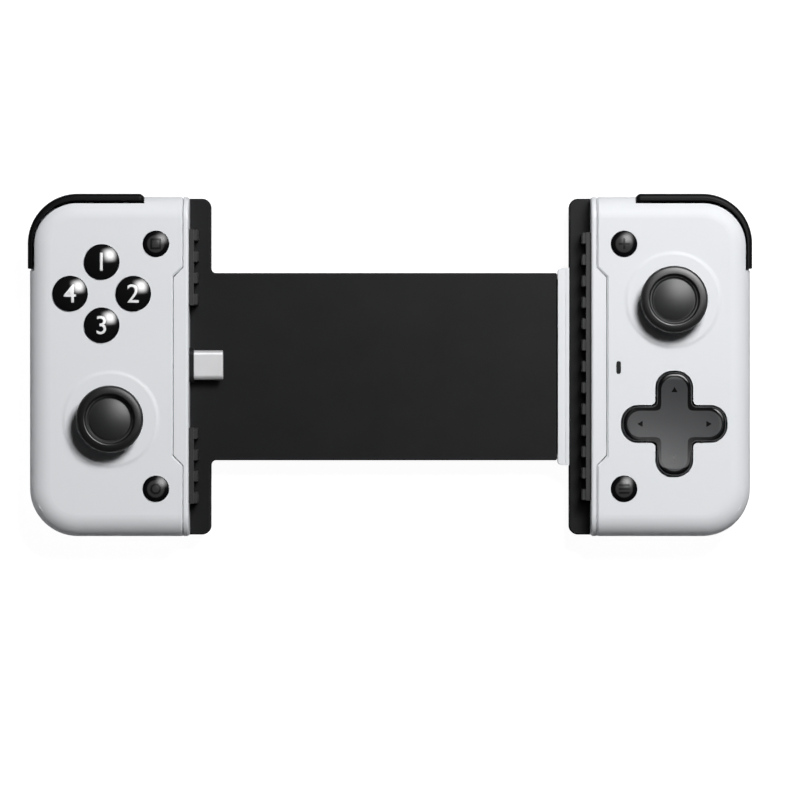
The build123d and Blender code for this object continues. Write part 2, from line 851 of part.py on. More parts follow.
# Direction pad
def direction_pad():
    """Dished plus-shaped pad with a retaining plate, four plungers and a socket for its pivot ball."""
    top = grip_depth + pad_crown
    low = cavity_top - pad_plate_drop
    pad = slab(pad_cross(), low, top)
    pad = fillet(pad.faces().sort_by(Axis.Z)[-1].edges(), pad_edge_radius)
    reach = pad_span / 2 - pad_edge_radius - pad_lip
    dish = (reach**2 + pad_dish_depth**2) / (2 * pad_dish_depth)
    pad -= Pos(pad_centre[0], pad_centre[1], top - pad_dish_depth + dish) * Sphere(dish)
    pad += rod(pad_centre, low - pad_plate_thickness, low, pad_plate_radius)
    for dx, dy in ((1, 0), (-1, 0), (0, 1), (0, -1)):
        place = (pad_centre[0] + dx * pad_plunger_place, pad_centre[1] + dy * pad_plunger_place)
        pad += rod(place, plunger_foot, low, pad_plunger_radius)
    socket = Pos(pad_centre[0], pad_centre[1], pad_pivot) * Sphere(pad_ball_radius + flat_clearance)
    return pad - socket


def pad_ball():
    """Ball that the direction pad rocks on."""
    return Pos(pad_centre[0], pad_centre[1], pad_pivot) * Sphere(pad_ball_radius)


def pad_post():
    """Pillar of the right back shell under the pivot ball, with a cupped end."""
    post = rod(pad_centre, wall - seat_gap, pad_pivot - pad_ball_radius / 2, pad_post_radius)
    cup = Pos(pad_centre[0], pad_centre[1], pad_pivot) * Sphere(pad_ball_radius + turning_clearance)
    return post - cup


# Shoulder buttons
def bumper():
    """Band round the grip's top outer corner, with a hinge ear and a switch nub inside."""
    low = parting_height + 2 * seam_gap
    start = grip_inner + bumper_start
    outer = corner_outline(
        half_length + bumper_side_proud, grip_half + bumper_proud, bumper_corner, start
    )
    outer = fillet(outer.vertices().group_by(Axis.X)[0], bumper_end_radius)
    inner = corner_outline(
        bumper_band_x + bumper_side_gap, bumper_band_y + bumper_swing_gap,
        bumper_corner - bumper_side_band,
    )
    body = slab(outer, low, bumper_front)
    body = fillet(body.faces().sort_by(Axis.Z)[-1].edges(), bumper_edge_radius)
    body -= slab(inner, low - overrun, bumper_front + overrun)
    body &= block(
        start, half_length + overrun + bumper_proud, bumper_end_height, grip_half + bumper_proud + overrun,
        low, bumper_front,
    )
    reach = bumper_band_y + bumper_swing_gap + seat_gap
    ear_top = bumper_ear_bottom + bumper_ear_height
    body += block(
        start, start + bumper_ear_length, bumper_band_y - bumper_ear_reach, reach,
        bumper_ear_bottom, ear_top,
    )
    nub_x = grip_inner + bumper_nub_place
    half = bumper_nub_width / 2
    body += block(
        nub_x - half, nub_x + half, bumper_band_y - wall, reach,
        bumper_ear_bottom, bumper_ear_bottom + bumper_nub_height,
    )
    return body - rod(bumper_pin, low, grip_depth, bumper_pin_radius + turning_clearance)


def bumper_hinge_pin():
    """Steel pin that a bumper swings on."""
    radius = bumper_pin_radius - seat_gap / 2
    return rod(bumper_pin, parting_height + seam_gap, cavity_top - wall / 2, radius)


def shoulder_switch():
    """Switch that the bumper's nub presses, seated on the front shell's rib."""
    x0, x1, y0, y1, z0, z1 = shoulder_switch_box()
    body = block(x0, x1, y0, y1, z0, z1)
    middle = (z0 + z1) / 2
    stem = rod_y((x0 + x1) / 2, y1, y1 + switch_stem_height / 3, middle, switch_stem_radius)
    return body + stem


def trigger():
    """Finger trigger: a dished face on a drum that turns about its pin."""
    pivot = (trigger_pivot_y, trigger_pivot_height)
    top = parting_height - trigger_top_gap
    face_y = grip_half - trigger_face_inset
    low_y = grip_half - trigger_low_inset
    drum = trigger_drum
    turn = math.radians(trigger_drum_angle)
    inner_y = pivot[0] - drum * math.sin(turn)
    lines = Curve() + [
        ThreePointArc(
            (face_y, top),
            ((face_y + low_y) / 2 - trigger_dish, (top + trigger_low_height) / 2),
            (low_y, trigger_low_height),
        ),
        Line((low_y, trigger_low_height), (pivot[0], pivot[1] - drum)),
        ThreePointArc(
            (pivot[0], pivot[1] - drum),
            (pivot[0] - drum * math.sin(turn / 2), pivot[1] - drum * math.cos(turn / 2)),
            (inner_y, pivot[1] - drum * math.cos(turn)),
        ),
        Polyline((inner_y, pivot[1] - drum * math.cos(turn)), (inner_y, top), (face_y, top)),
    ]
    x0 = grip_inner + trigger_inner_place
    x1 = grip_inner + trigger_outer_place
    body = Pos(x0, 0, 0) * extrude(Plane.YZ * make_face(lines), x1 - x0)
    body &= slab(
        corner_outline(half_length - trigger_face_inset, grip_half - trigger_face_inset, outer_corner),
        0, grip_depth,
    )
    middle = (x0 + x1) / 2
    gap = trigger_spring_length / 2 + flat_clearance
    body -= rod_x(
        middle - gap, middle + gap, *pivot, trigger_spring_radius + 2 * flat_clearance
    )
    return body - rod_x(x0 - overrun, x1 + overrun, *pivot, trigger_pin_radius + turning_clearance)


def trigger_hinge_pin():
    """Steel pin through a trigger, held in the back shell's two ribs."""
    x0 = grip_inner + trigger_inner_place - trigger_side_gap - trigger_rib_thickness / 2
    x1 = grip_inner + trigger_outer_place + trigger_side_gap + trigger_rib_thickness / 2
    return rod_x(x0, x1, trigger_pivot_y, trigger_pivot_height, trigger_pin_radius - seat_gap / 2)


def trigger_spring():
    """Closed coil of a trigger's return spring, round its pin."""
    middle = grip_inner + (trigger_inner_place + trigger_outer_place) / 2
    half = trigger_spring_length / 2
    pivot = (trigger_pivot_y, trigger_pivot_height)
    coil = rod_x(middle - half, middle + half, *pivot, trigger_spring_radius)
    reach = half + overrun
    return coil - rod_x(middle - reach, middle + reach, *pivot, trigger_pin_radius + turning_clearance)


# Bridge
def bridge_plan(corner=flange_corner):
    """Plan of the sleeve: a bar with a cross flange at the left grip."""
    bar = rounded_area(-flange_front - overrun, bridge_end - flat_clearance, bridge_half_width,
                       bridge_corner, "high")
    flange = rounded_area(-grip_inner, -flange_front, flange_half, corner, "high")
    plan = bar + flange
    corners = [
        vertex for vertex in plan.vertices()
        if abs(vertex.X + flange_front) < seat_gap and abs(abs(vertex.Y) - bridge_half_width) < seat_gap
    ]
    return fillet(corners, flange_fillet)


def bridge_front():
    """Upper half of the sleeve: the black plate that the phone lies over, with its side walls."""
    body = slab(bridge_plan(), sleeve_floor, bridge_top)
    body = chamfer(body.faces().sort_by(Axis.Z)[-1].edges().sort_by(Axis.X)[1:], bridge_edge)
    inner = bridge_half_width - bridge_side_wall
    body -= block(
        -sleeve_inner_end, bridge_end + overrun, -inner, inner, sleeve_floor - overrun, sleeve_roof
    )
    for y, length in tie_places():
        end = -(cover_seam - length) + seat_gap
        body -= rod_x(-grip_inner - overrun, end, y, tie_screw_height, screw_hole_radius)
    return body


def bridge_back():
    """Lower half of the sleeve, a flat cover."""
    body = slab(bridge_plan(), bridge_bottom, sleeve_floor)
    return chamfer(body.faces().sort_by(Axis.Z)[0].edges().sort_by(Axis.X)[1:], bridge_edge)


def slide_tongue():
    """Tongue of the right grip that runs in the sleeve, slotted for the springs and the ribbon."""
    half = bridge_half_width - bridge_side_wall - flat_clearance
    low = sleeve_floor + flat_clearance
    high = sleeve_roof - flat_clearance
    body = block(-tongue_start, flange_front, -half, half, low, high)
    body -= block(
        -tongue_start - overrun, bridge_end - collar_length, -tongue_slot_half, tongue_slot_half,
        low - overrun, high + overrun,
    )
    for side in (-1, 1):
        middle = side * spring_slot_middle
        body -= block(
            -tongue_start - overrun, spring_slot_end, middle - spring_slot_width / 2,
            middle + spring_slot_width / 2, low - overrun, high + overrun,
        )
    for y, length in tie_places():
        if abs(y) < half:
            start = cover_seam - length - seat_gap
            body -= rod_x(start, grip_inner, y, tie_screw_height, screw_hole_radius)
    return body


def bridge_springs():
    """Two extension springs that pull the grips together."""
    made = []
    height = (sleeve_floor + sleeve_roof) / 2
    for side in (-1, 1):
        y = side * spring_slot_middle
        x0 = -sleeve_inner_end + seat_gap
        x1 = spring_slot_end - seat_gap
        coil = rod_x(x0, x1, y, height, bridge_spring_radius)
        bore = bridge_spring_radius - bridge_spring_wall
        made.append(coil - rod_x(x0 - overrun, x1 + overrun, y, height, bore))
    return Compound(children=made)


def ribbon_cable():
    """Flat ribbon folded in the sleeve, which carries the right grip's signals."""
    half = ribbon_width / 2
    thick = ribbon_thickness
    middle = (sleeve_floor + sleeve_roof) / 2
    levels = [middle - ribbon_layer, middle, middle + ribbon_layer]
    left = -sleeve_inner_end + seat_gap
    fold = ribbon_fold_place
    back = -ribbon_return_place
    right = bridge_end - collar_length - seat_gap
    spans = [(left, fold), (back, fold), (back, right)]
    body = None
    for (x0, x1), z in zip(spans, levels):
        run = block(x0, x1, -half, half, z - thick / 2, z + thick / 2)
        body = run if body is None else body + run
    bend_out = ribbon_layer / 2 + thick / 2
    bend_in = ribbon_layer / 2 - thick / 2
    for x, z, side in ((fold, levels[0], 1), (back, levels[1], -1)):
        centre = z + ribbon_layer / 2
        ring = rod_y(x, -half, half, centre, bend_out) - rod_y(x, -half, half, centre, bend_in)
        keep = block(min(x, x + side * bend_out), max(x, x + side * bend_out), -half, half,
                     centre - bend_out, centre + bend_out)
        body += ring & keep
    return body


def flange_tray():
    """Black flange along the right grip's inner side, level with the sleeve's own flange."""
    area = rounded_area(flange_front, grip_inner, flange_half, flange_corner, "low")
    body = slab(area, bridge_bottom, bridge_top + tray_rise)
    body = chamfer(body.faces().sort_by(Axis.Z)[-1].edges().sort_by(Axis.X)[:-1], bridge_edge)
    for y, length in tie_places():
        start = cover_seam - length - seat_gap
        body -= rod_x(start, grip_inner + overrun, y, tie_screw_height, screw_hole_radius)
    return body


def bridge_collar():
    """White collar round the tongue, which the sleeve's mouth meets."""
    area = rounded_area(flange_front - collar_length, flange_front, collar_half, collar_corner, "low")
    low = bridge_bottom - collar_rise / 2
    high = bridge_top + collar_rise
    body = slab(area, low, high)
    for face in (body.faces().sort_by(Axis.Z)[-1], body.faces().sort_by(Axis.Z)[0]):
        body = chamfer(face.edges().sort_by(Axis.X)[:-1], collar_edge)
    half = bridge_half_width - bridge_side_wall
    body -= block(
        flange_front - collar_length - overrun, flange_front + overrun, -half, half,
        sleeve_floor, sleeve_roof,
    )
    groove = flange_front - collar_length + collar_groove_place
    body -= block(
        groove, groove + collar_groove_width, -collar_half - overrun, collar_half + overrun,
        high - collar_groove_depth, high + overrun,
    )
    return body


def phone_pad(ys):
    """Rubber strip with a rounded block at each height up the grip."""
    floor = bridge_top + tray_rise + pad_foot_gap
    front = grip_inner - pad_base_depth
    half = pad_block_length / 2
    strip = block(front, grip_inner, min(ys) - half, max(ys) + half, floor, pad_base_top)
    plan = rounded_area(front - pad_block_depth, front + pad_block_corner, half, pad_block_corner, "low")
    stud = slab(plan, floor, pad_top)
    stud = chamfer(stud.faces().sort_by(Axis.Z)[-1].edges().sort_by(Axis.X)[:-1], pad_block_edge)
    for y in ys:
        strip += Pos(0, y, 0) * stud
    return strip


# Plug
def stadium(width, thickness):
    """Round-ended slot shape that stands across X."""
    return Plane.YZ * SlotOverall(width, thickness)


def plug_shell():
    """Steel tube of the plug, open at its mouth."""
    start = grip_inner - plug_reach
    tube = Pos(start, plug_offset, plug_height) * extrude(
        stadium(plug_width, plug_thickness), plug_reach + cover_thickness
    )
    tube = fillet(tube.faces().sort_by(Axis.X)[0].edges(), plug_mouth_radius)
    bore = Pos(start - overrun, plug_offset, plug_height) * extrude(
        stadium(plug_width - 2 * plug_wall, plug_thickness - 2 * plug_wall), plug_length + overrun
    )
    return tube - bore


def plug_tongue():
    """Contact blade that stands inside the plug's tube."""
    x0 = grip_inner - plug_reach + plug_tongue_setback
    x1 = grip_inner - plug_reach + plug_length
    half = plug_tongue_width / 2
    thick = plug_tongue_thickness / 2
    return block(
        x0, x1, plug_offset - half, plug_offset + half, plug_height - thick, plug_height + thick
    )


def plug_collar():
    """Black moulding that carries the plug in the end cover's window."""
    x0 = grip_inner - plug_collar_depth
    x1 = grip_inner + plug_body_depth
    body = Pos(x0, plug_offset, plug_height) * extrude(
        stadium(plug_collar_width, plug_collar_height), x1 - x0
    )
    seat = Pos(x0 - overrun, plug_offset, plug_height) * extrude(
        stadium(plug_width, plug_thickness), overrun + plug_collar_depth + cover_thickness
    )
    return body - seat


def plug_window():
    """Opening in the left end cover for the plug's moulding."""
    width = plug_collar_width + 2 * seat_gap
    height = plug_collar_height + 2 * seat_gap
    return Pos(grip_inner - overrun, plug_offset, plug_height) * extrude(
        stadium(width, height), cover_thickness + 2 * overrun
    )


def status_light():
    """Light pipe in the right grip's slot."""
    x = grip_inner + light_place
    pipe = SlotOverall(light_length, light_width, rotation=90)
    return slab(Pos(x, light_height) * pipe, board_top, grip_depth - seat_gap)


def light_slot():
    """Slot in the right front shell for the light pipe."""
    x = grip_inner + light_place
    hole = SlotOverall(light_length + 2 * seat_gap, light_width + 2 * seat_gap, rotation=90)
    return slab(Pos(x, light_height) * hole, cavity_top - overrun, grip_depth + overrun)


def build_parts():
    """Every node of the controller by name."""
    smalls = small_places()
    faces = face_places()
    small_holes = [(place, small_button_radius + button_clearance) for place in smalls.values()]
    face_holes = [(place, face_button_radius + button_clearance) for place in faces.values()]
    last_block = pad_block_count // 2
    right_blocks = [n * pad_block_pitch for n in range(-last_block, last_block + 1)]
    left_blocks = [y + left_pad_shift for y in right_blocks[-left_pad_blocks:]]
    parts = {}

    # Left grip
    parts["left_front_shell"] = mirrored(front_shell(small_holes + face_holes, left_stick, []))
    parts["left_back_shell"] = mirrored(back_shell())
    parts["left_end_cover"] = mirrored(end_cover(plug_window()))
    parts["left_circuit_board"] = mirrored(circuit_board(list(smalls.values())))
    parts["face_button_membrane"] = mirrored(membrane(list(faces.values())))
    for name, place in faces.items():
        parts[f"face_button_{name}"] = mirrored(
            domed_button(place, face_button_radius, face_button_rim, face_button_crown, button_flange,
                         plunger_radius, plunger_foot, button_key_width)
        )
    pads = [phone_pad(left_blocks), phone_pad([-y for y in left_blocks])]
    parts["left_phone_pads"] = mirrored(Compound(children=pads))
    parts["plug_shell"] = mirrored(plug_shell())
    parts["plug_tongue"] = mirrored(plug_tongue())
    parts["plug_collar"] = mirrored(plug_collar())

    # Right grip
    parts["right_front_shell"] = front_shell(
        small_holes, right_stick, [slab(pad_cross(pad_clearance), cavity_top - overrun, grip_depth + overrun),
                                   light_slot()]
    )
    parts["right_back_shell"] = back_shell(pad_post())
    parts["right_end_cover"] = end_cover()
    parts["right_circuit_board"] = circuit_board(
        list(smalls.values()), [(pad_centre, pad_post_radius + 2 * flat_clearance)]
    )
    pad_feet = [
        (pad_centre[0] + dx * pad_plunger_place, pad_centre[1] + dy * pad_plunger_place)
        for dx, dy in ((1, 0), (-1, 0), (0, 1), (0, -1))
    ]
    parts["direction_pad_membrane"] = membrane(pad_feet, (pad_centre, pad_post_radius + 2 * flat_clearance))
    parts["direction_pad"] = direction_pad()
    parts["direction_pad_pivot"] = pad_ball()
    parts["right_phone_pad"] = phone_pad(right_blocks)
    parts["status_light"] = status_light()

    # Pieces that both grips have
    for side, turn, stick in (("left", mirrored, left_stick), ("right", lambda shape: shape, right_stick)):
        foot = board_top + switch_height + switch_stem_height + small_button_travel + seat_gap
        for name, place in smalls.items():
            parts[f"{side}_{name}_button"] = turn(
                domed_button(place, small_button_radius, small_button_rim, small_button_crown,
                             button_flange, small_plunger_radius, foot)
            )
        parts[f"{side}_stick_base"] = turn(stick_base(stick))
        parts[f"{side}_stick_rocker"] = turn(stick_rocker(stick))
        parts[f"{side}_stick_carrier"] = turn(stick_carrier(stick))
        parts[f"{side}_stick_post"] = turn(stick_post(stick))
        parts[f"{side}_stick_cap"] = turn(stick_cap(stick))
        parts[f"{side}_bumper"] = turn(bumper())
        parts[f"{side}_bumper_pin"] = turn(bumper_hinge_pin())
        parts[f"{side}_bumper_switch"] = turn(shoulder_switch())
        parts[f"{side}_trigger"] = turn(trigger())
        parts[f"{side}_trigger_pin"] = turn(trigger_hinge_pin())
        parts[f"{side}_trigger_spring"] = turn(trigger_spring())
        parts[f"{side}_housing_screws"] = turn(screws())
        parts[f"{side}_tie_screws"] = turn(tie_screws())

    # Bridge
    parts["bridge_front_plate"] = bridge_front()
    parts["bridge_back_plate"] = bridge_back()
    parts["bridge_springs"] = bridge_springs()
    parts["ribbon_cable"] = ribbon_cable()
    parts["slide_tongue"] = slide_tongue()
    parts["bridge_collar"] = bridge_collar()
    parts["flange_tray"] = flange_tray()
    return parts


os.makedirs("parts", exist_ok=True)
for node, shape in build_parts().items():
    export_step(shape, f"parts/{node}.step")
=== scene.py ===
"""Dresses the stretch-out phone controller: finishes, button figures, springs, ribbon and studio."""

import json
import math

import bmesh
import bpy
from mathutils import Matrix, Vector
from mathutils.bvhtree import BVHTree


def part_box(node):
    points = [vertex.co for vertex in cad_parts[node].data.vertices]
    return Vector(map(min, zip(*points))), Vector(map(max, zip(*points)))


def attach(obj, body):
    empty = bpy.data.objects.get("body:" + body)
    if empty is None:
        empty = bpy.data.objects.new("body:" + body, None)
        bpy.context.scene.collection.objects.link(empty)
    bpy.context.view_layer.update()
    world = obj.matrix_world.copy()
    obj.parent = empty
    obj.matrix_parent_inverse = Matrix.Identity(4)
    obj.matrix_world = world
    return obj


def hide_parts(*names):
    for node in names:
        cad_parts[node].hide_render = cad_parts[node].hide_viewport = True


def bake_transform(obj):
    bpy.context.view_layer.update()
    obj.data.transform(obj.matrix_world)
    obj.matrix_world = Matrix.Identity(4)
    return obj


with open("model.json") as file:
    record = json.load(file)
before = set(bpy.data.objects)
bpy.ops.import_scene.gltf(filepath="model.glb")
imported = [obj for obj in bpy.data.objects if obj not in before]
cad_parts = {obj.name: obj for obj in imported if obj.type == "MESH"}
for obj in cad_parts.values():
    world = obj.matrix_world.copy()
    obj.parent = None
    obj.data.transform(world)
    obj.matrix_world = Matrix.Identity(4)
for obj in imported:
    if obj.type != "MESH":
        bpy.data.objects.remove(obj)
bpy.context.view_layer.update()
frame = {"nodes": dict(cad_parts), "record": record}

bl_info = {
    "name": "Phone controller",
    "version": (1, 0, 0),
    "blender": (4, 5, 0),
    "location": "3D View > Sidebar > Controller",
    "description": "Finishes, button figures, springs, ribbon and studio for a stretch-out phone controller",
    "category": "Object",
}

MM = 0.001
SIDES = ("left", "right")
ROOT, SLIDER = "left_grip", "right_grip"
MARKS = {"left_upper": "square", "left_lower": "ring", "right_upper": "plus", "right_lower": "bars"}

# Grid step, height over the surface and depth below it of what is laid on the buttons
FIGURE_STEP, FIGURE_SINK = 0.45 * MM, 0.2 * MM
MARK_STEP, MARK_RELIEF, MARK_SINK = 0.5 * MM, 0.02 * MM, 0.15 * MM
ARROW_STEP, ARROW_RELIEF, ARROW_SINK = 0.5 * MM, 0.03 * MM, 0.2 * MM
ARROW_CORNER = 0.18 * MM
CLEAR_ABOVE = 5 * MM        # how far above a button the rays that find its surface start
MERGE_DISTANCE = 1e-7

# Figures and marks, as shares of their height or width
FONT_SIZE, FONT_WEIGHT = 1.37, 0.004
MARK_LINE, BAR_PLACE = 0.17, 0.36
RING_SIDES = 28

# Bridge springs: straight end, sides of the wire and steps of a turn
SPRING_END = 2.2 * MM
WIRE_SIDES, TURN_STEPS = 7, 14

# Contacts on the plug's tongue: shares of the tongue's length and of the pitch, then sizes
CONTACT_LENGTH, CONTACT_WIDTH = 0.72, 0.5
CONTACT_THICKNESS, CONTACT_INSET, CONTACT_BEVEL = 0.06 * MM, 0.3 * MM, 0.015 * MM

# Direction pad's border, painted dark as painted shade on its rounded edge: its width, the pad's play in its
# outline and the round of its inner corners
PAD_BORDER, PAD_INSET, PAD_INNER_ROUND = 1.25 * MM, 0.1 * MM, 2.5 * MM
# A stick cap's rim top, above this depth, is painted darker as painted shade.
CAP_PAINTED_SHADE_DEPTH = 0.26 * MM  # how far below its top a stick cap turns dark

# Softness of the masks: the lean's share, a height, and the border's and worn edge's steepness
TILT_LEVEL, TILT_SOFTNESS = 0.955, 0.02
HEIGHT_SOFTNESS = 0.06 * MM
BORDER_STEEPNESS, EDGE_STEEPNESS = 5000.0, 7.0

# Size of the patches in which the colour of plastic and of metal drifts
PLASTIC_PATCH, METAL_PATCH = 0.02, 0.004

# Table: size, gap below the controller, tone to the controller and to the camera
TABLE_HALF, TABLE_GAP = 2.5, 0.3 * MM
TABLE_TONE, TABLE_SEEN, TABLE_GLOW = (0.45, 0.45, 0.46, 1), (0.30, 0.30, 0.30, 1), 0.97

# Softbox: how far its light fades in from low X, high X, low Y and high Y
SOFTBOX_FADES = (0.45, 0.5, 0.45, 0.5)
# Lamps for the left and lower edges: name, place, point that it faces and power
EDGE_LAMPS = (
    ("left_fill", (-0.95, 0.05, 0.07), (-0.08, 0, 0), 1.1),
    ("front_fill", (0.0, -0.95, 0.07), (0, -0.04, 0), 0.35),
)
EDGE_LAMP_SIZE = (0.6, 0.15)

# Camera: sensor, height of the buttons that the view's width is given for, and middle of the view
SENSOR_WIDTH = 36.0
BUTTON_HEIGHT = 16 * MM
VIEW_X, VIEW_Y = 2.78 * MM, -9.3 * MM

# What the frame says of each node
centre_of = {name: (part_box(name)[0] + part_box(name)[1]) / 2 for name in frame["nodes"]}
slot_of = {part["node"]: part["material_slot"] for part in frame["record"]["subparts"]}


class ControllerFinish(bpy.types.PropertyGroup):
    """Colours of the controller's own surfaces."""

    white: bpy.props.FloatVectorProperty(
        name="White shell", description="Colour of the grips' moulded shells", subtype="COLOR",
        default=(0.80, 0.815, 0.84), min=0, max=1)
    trim: bpy.props.FloatVectorProperty(
        name="White trim", description="Colour of the end covers and the collar", subtype="COLOR",
        default=(0.78, 0.795, 0.82), min=0, max=1)
    black: bpy.props.FloatVectorProperty(
        name="Black plastic", description="Colour of the bridge and its flanges", subtype="COLOR",
        default=(0.0125, 0.0127, 0.0135), min=0, max=1)
    gloss: bpy.props.FloatVectorProperty(
        name="Gloss black", description="Colour of the round buttons", subtype="COLOR",
        default=(0.006, 0.006, 0.0065), min=0, max=1)
    pad: bpy.props.FloatVectorProperty(
        name="Pad grey", description="Colour of the direction pad", subtype="COLOR",
        default=(0.030, 0.031, 0.033), min=0, max=1)
    rubber: bpy.props.FloatVectorProperty(
        name="Black rubber", description="Colour of the stick caps", subtype="COLOR",
        default=(0.018, 0.0183, 0.0192), min=0, max=1)
    ink: bpy.props.FloatVectorProperty(
        name="White ink", description="Colour of the figures printed on the buttons", subtype="COLOR",
        default=(0.95, 0.955, 0.96), min=0, max=1)
    grain: bpy.props.FloatProperty(
        name="Grain size", description="Size of the moulded grain on satin plastic", unit="LENGTH",
        default=0.00022, min=0.00005, max=0.002)


class ControllerSizes(bpy.types.PropertyGroup):
    """Sizes of the pieces that are added to the frame."""

    figure_height: bpy.props.FloatProperty(
        name="Figure height", description="Height of the figures on the face buttons", unit="LENGTH",
        default=5.1 * MM)
    figure_relief: bpy.props.FloatProperty(
        name="Figure relief", description="Height of the ink over the button", unit="LENGTH",
        default=0.05 * MM)
    mark_size: bpy.props.FloatProperty(
        name="Mark size", description="Width of the marks on the small buttons", unit="LENGTH",
        default=3.0 * MM)
    pad_arm_width: bpy.props.FloatProperty(
        name="Pad arm width", description="Width of the direction pad's arms", unit="LENGTH",
        default=9.6 * MM)
    arrow_width: bpy.props.FloatProperty(
        name="Arrow width", description="Width of the arrows on the direction pad", unit="LENGTH",
        default=1.7 * MM)
    arrow_place: bpy.props.FloatProperty(
        name="Arrow place", description="Distance of the arrows from the pad's centre", unit="LENGTH",
        default=9.3 * MM)
    spring_wire: bpy.props.FloatProperty(
        name="Spring wire", description="Diameter of the bridge springs' wire", unit="LENGTH",
        default=0.5 * MM)
    spring_turns: bpy.props.IntProperty(
        name="Spring turns", description="Turns of each bridge spring", default=44, min=4)
    ribbon_thickness: bpy.props.FloatProperty(
        name="Ribbon thickness", description="Thickness of the folded ribbon cable", unit="LENGTH",
        default=0.2 * MM)
    ribbon_fold: bpy.props.FloatProperty(
        name="Ribbon fold", description="Place of the ribbon's right-hand fold along the bridge",
        unit="LENGTH", default=12.0 * MM)
    ribbon_return: bpy.props.FloatProperty(
        name="Ribbon return", description="Place of the ribbon's left-hand fold along the bridge",
        unit="LENGTH", default=-24.0 * MM)
    contact_count: bpy.props.IntProperty(
        name="Contacts", description="Contacts on each face of the plug's tongue", default=12, min=1)


class ControllerStudio(bpy.types.PropertyGroup):
    """Camera and lights."""

    camera_height: bpy.props.FloatProperty(
        name="Camera height", description="Height of the camera above the table", unit="LENGTH",
        default=1.616)
    frame_width: bpy.props.FloatProperty(
        name="Frame width", description="Width of the view at the buttons' height", unit="LENGTH",
        default=0.2222)
    key_power: bpy.props.FloatProperty(
        name="Key power", description="Power of the key lamp", unit="POWER", default=8.9)
    key_place: bpy.props.FloatVectorProperty(
        name="Key place", description="Middle of the key lamp", subtype="TRANSLATION", unit="LENGTH",
        default=(0.244, 0.407, 0.823))
    key_size: bpy.props.FloatProperty(
        name="Key size", description="Side of the key lamp", unit="LENGTH", default=0.24)
    box_power: bpy.props.FloatProperty(
        name="Softbox power", description="Power of the softbox that gloss shows", unit="POWER", default=34.0)
    box_place: bpy.props.FloatVectorProperty(
        name="Softbox place", description="Middle of the softbox that gloss shows", subtype="TRANSLATION",
        unit="LENGTH", default=(0.235, 0.335, 0.610))
    box_size: bpy.props.FloatProperty(
        name="Softbox size", description="Side of the softbox that gloss shows", unit="LENGTH", default=0.80)
    world_level: bpy.props.FloatProperty(
        name="Room level", description="Brightness of the room around the table", default=0.008)


def new_group(name, inputs, outputs):
    """An empty shader node group with its sockets, and its two end nodes."""
    tree = bpy.data.node_groups.new(name, "ShaderNodeTree")
    for label, kind, value in inputs:
        socket = tree.interface.new_socket(label, in_out="INPUT", socket_type=kind)
        socket.default_value = value
    for label, kind in outputs:
        tree.interface.new_socket(label, in_out="OUTPUT", socket_type=kind)
    return tree, tree.nodes.new("NodeGroupInput"), tree.nodes.new("NodeGroupOutput")


def add(tree, kind, **values):
    """One node, with its properties and its named inputs set."""
    node = tree.nodes.new(kind)
    for key, value in values.items():
        if key in node.inputs:
            node.inputs[key].default_value = value
        else:
            setattr(node, key, value)
    return node


def math_node(tree, operation, first, second, clamp=False):
    """A Math node fed by sockets or numbers."""
    node = tree.nodes.new("ShaderNodeMath")
    node.operation = operation
    node.use_clamp = clamp
    for socket, value in zip(node.inputs, (first, second)):
        if isinstance(value, bpy.types.NodeSocket):
            tree.links.new(value, socket)
        else:
            socket.default_value = value
    return node.outputs[0]


def object_point(tree, per_metre):
    """Object coordinates scaled so that one unit is one feature of the pattern."""
    point = tree.nodes.new("ShaderNodeTexCoord").outputs["Object"]
    scale = add(tree, "ShaderNodeVectorMath", operation="SCALE")
    tree.links.new(point, scale.inputs[0])
    tree.links.new(per_metre, scale.inputs["Scale"])
    return scale.outputs["Vector"]


def moulded_grain_group():
    """Fine spark-eroded grain: a height and a roughness that follow the same noise."""
    tree, given, made = new_group(
        "Moulded grain",
        [("Grain size", "NodeSocketFloat", 0.00022), ("Roughness", "NodeSocketFloat", 0.4),
         ("Spread", "NodeSocketFloat", 0.08)],
        [("Height", "NodeSocketFloat"), ("Roughness", "NodeSocketFloat")])
    per_metre = math_node(tree, "DIVIDE", 1.0, given.outputs["Grain size"])
    point = object_point(tree, per_metre)
    pits = add(tree, "ShaderNodeTexVoronoi", feature="SMOOTH_F1", Scale=1.0, Smoothness=0.7)
    cloud = add(tree, "ShaderNodeTexNoise", Scale=0.55, Detail=3.0, Roughness=0.6)
    patch = add(tree, "ShaderNodeTexNoise", Scale=0.02, Detail=2.0, Roughness=0.5)
    for node in (pits, cloud, patch):
        tree.links.new(point, node.inputs["Vector"])
    height = math_node(tree, "MULTIPLY_ADD", pits.outputs["Distance"], 0.5)
    tree.links.new(cloud.outputs["Fac"], height.node.inputs[2])
    tree.links.new(height, made.inputs["Height"])
    both = math_node(tree, "ADD", cloud.outputs["Fac"], patch.outputs["Fac"])
    swing = math_node(tree, "SUBTRACT", both, 1.0)
    rough = math_node(tree, "MULTIPLY_ADD", swing, given.outputs["Spread"])
    tree.links.new(given.outputs["Roughness"], rough.node.inputs[2])
    tree.links.new(rough, made.inputs["Roughness"])
    return tree


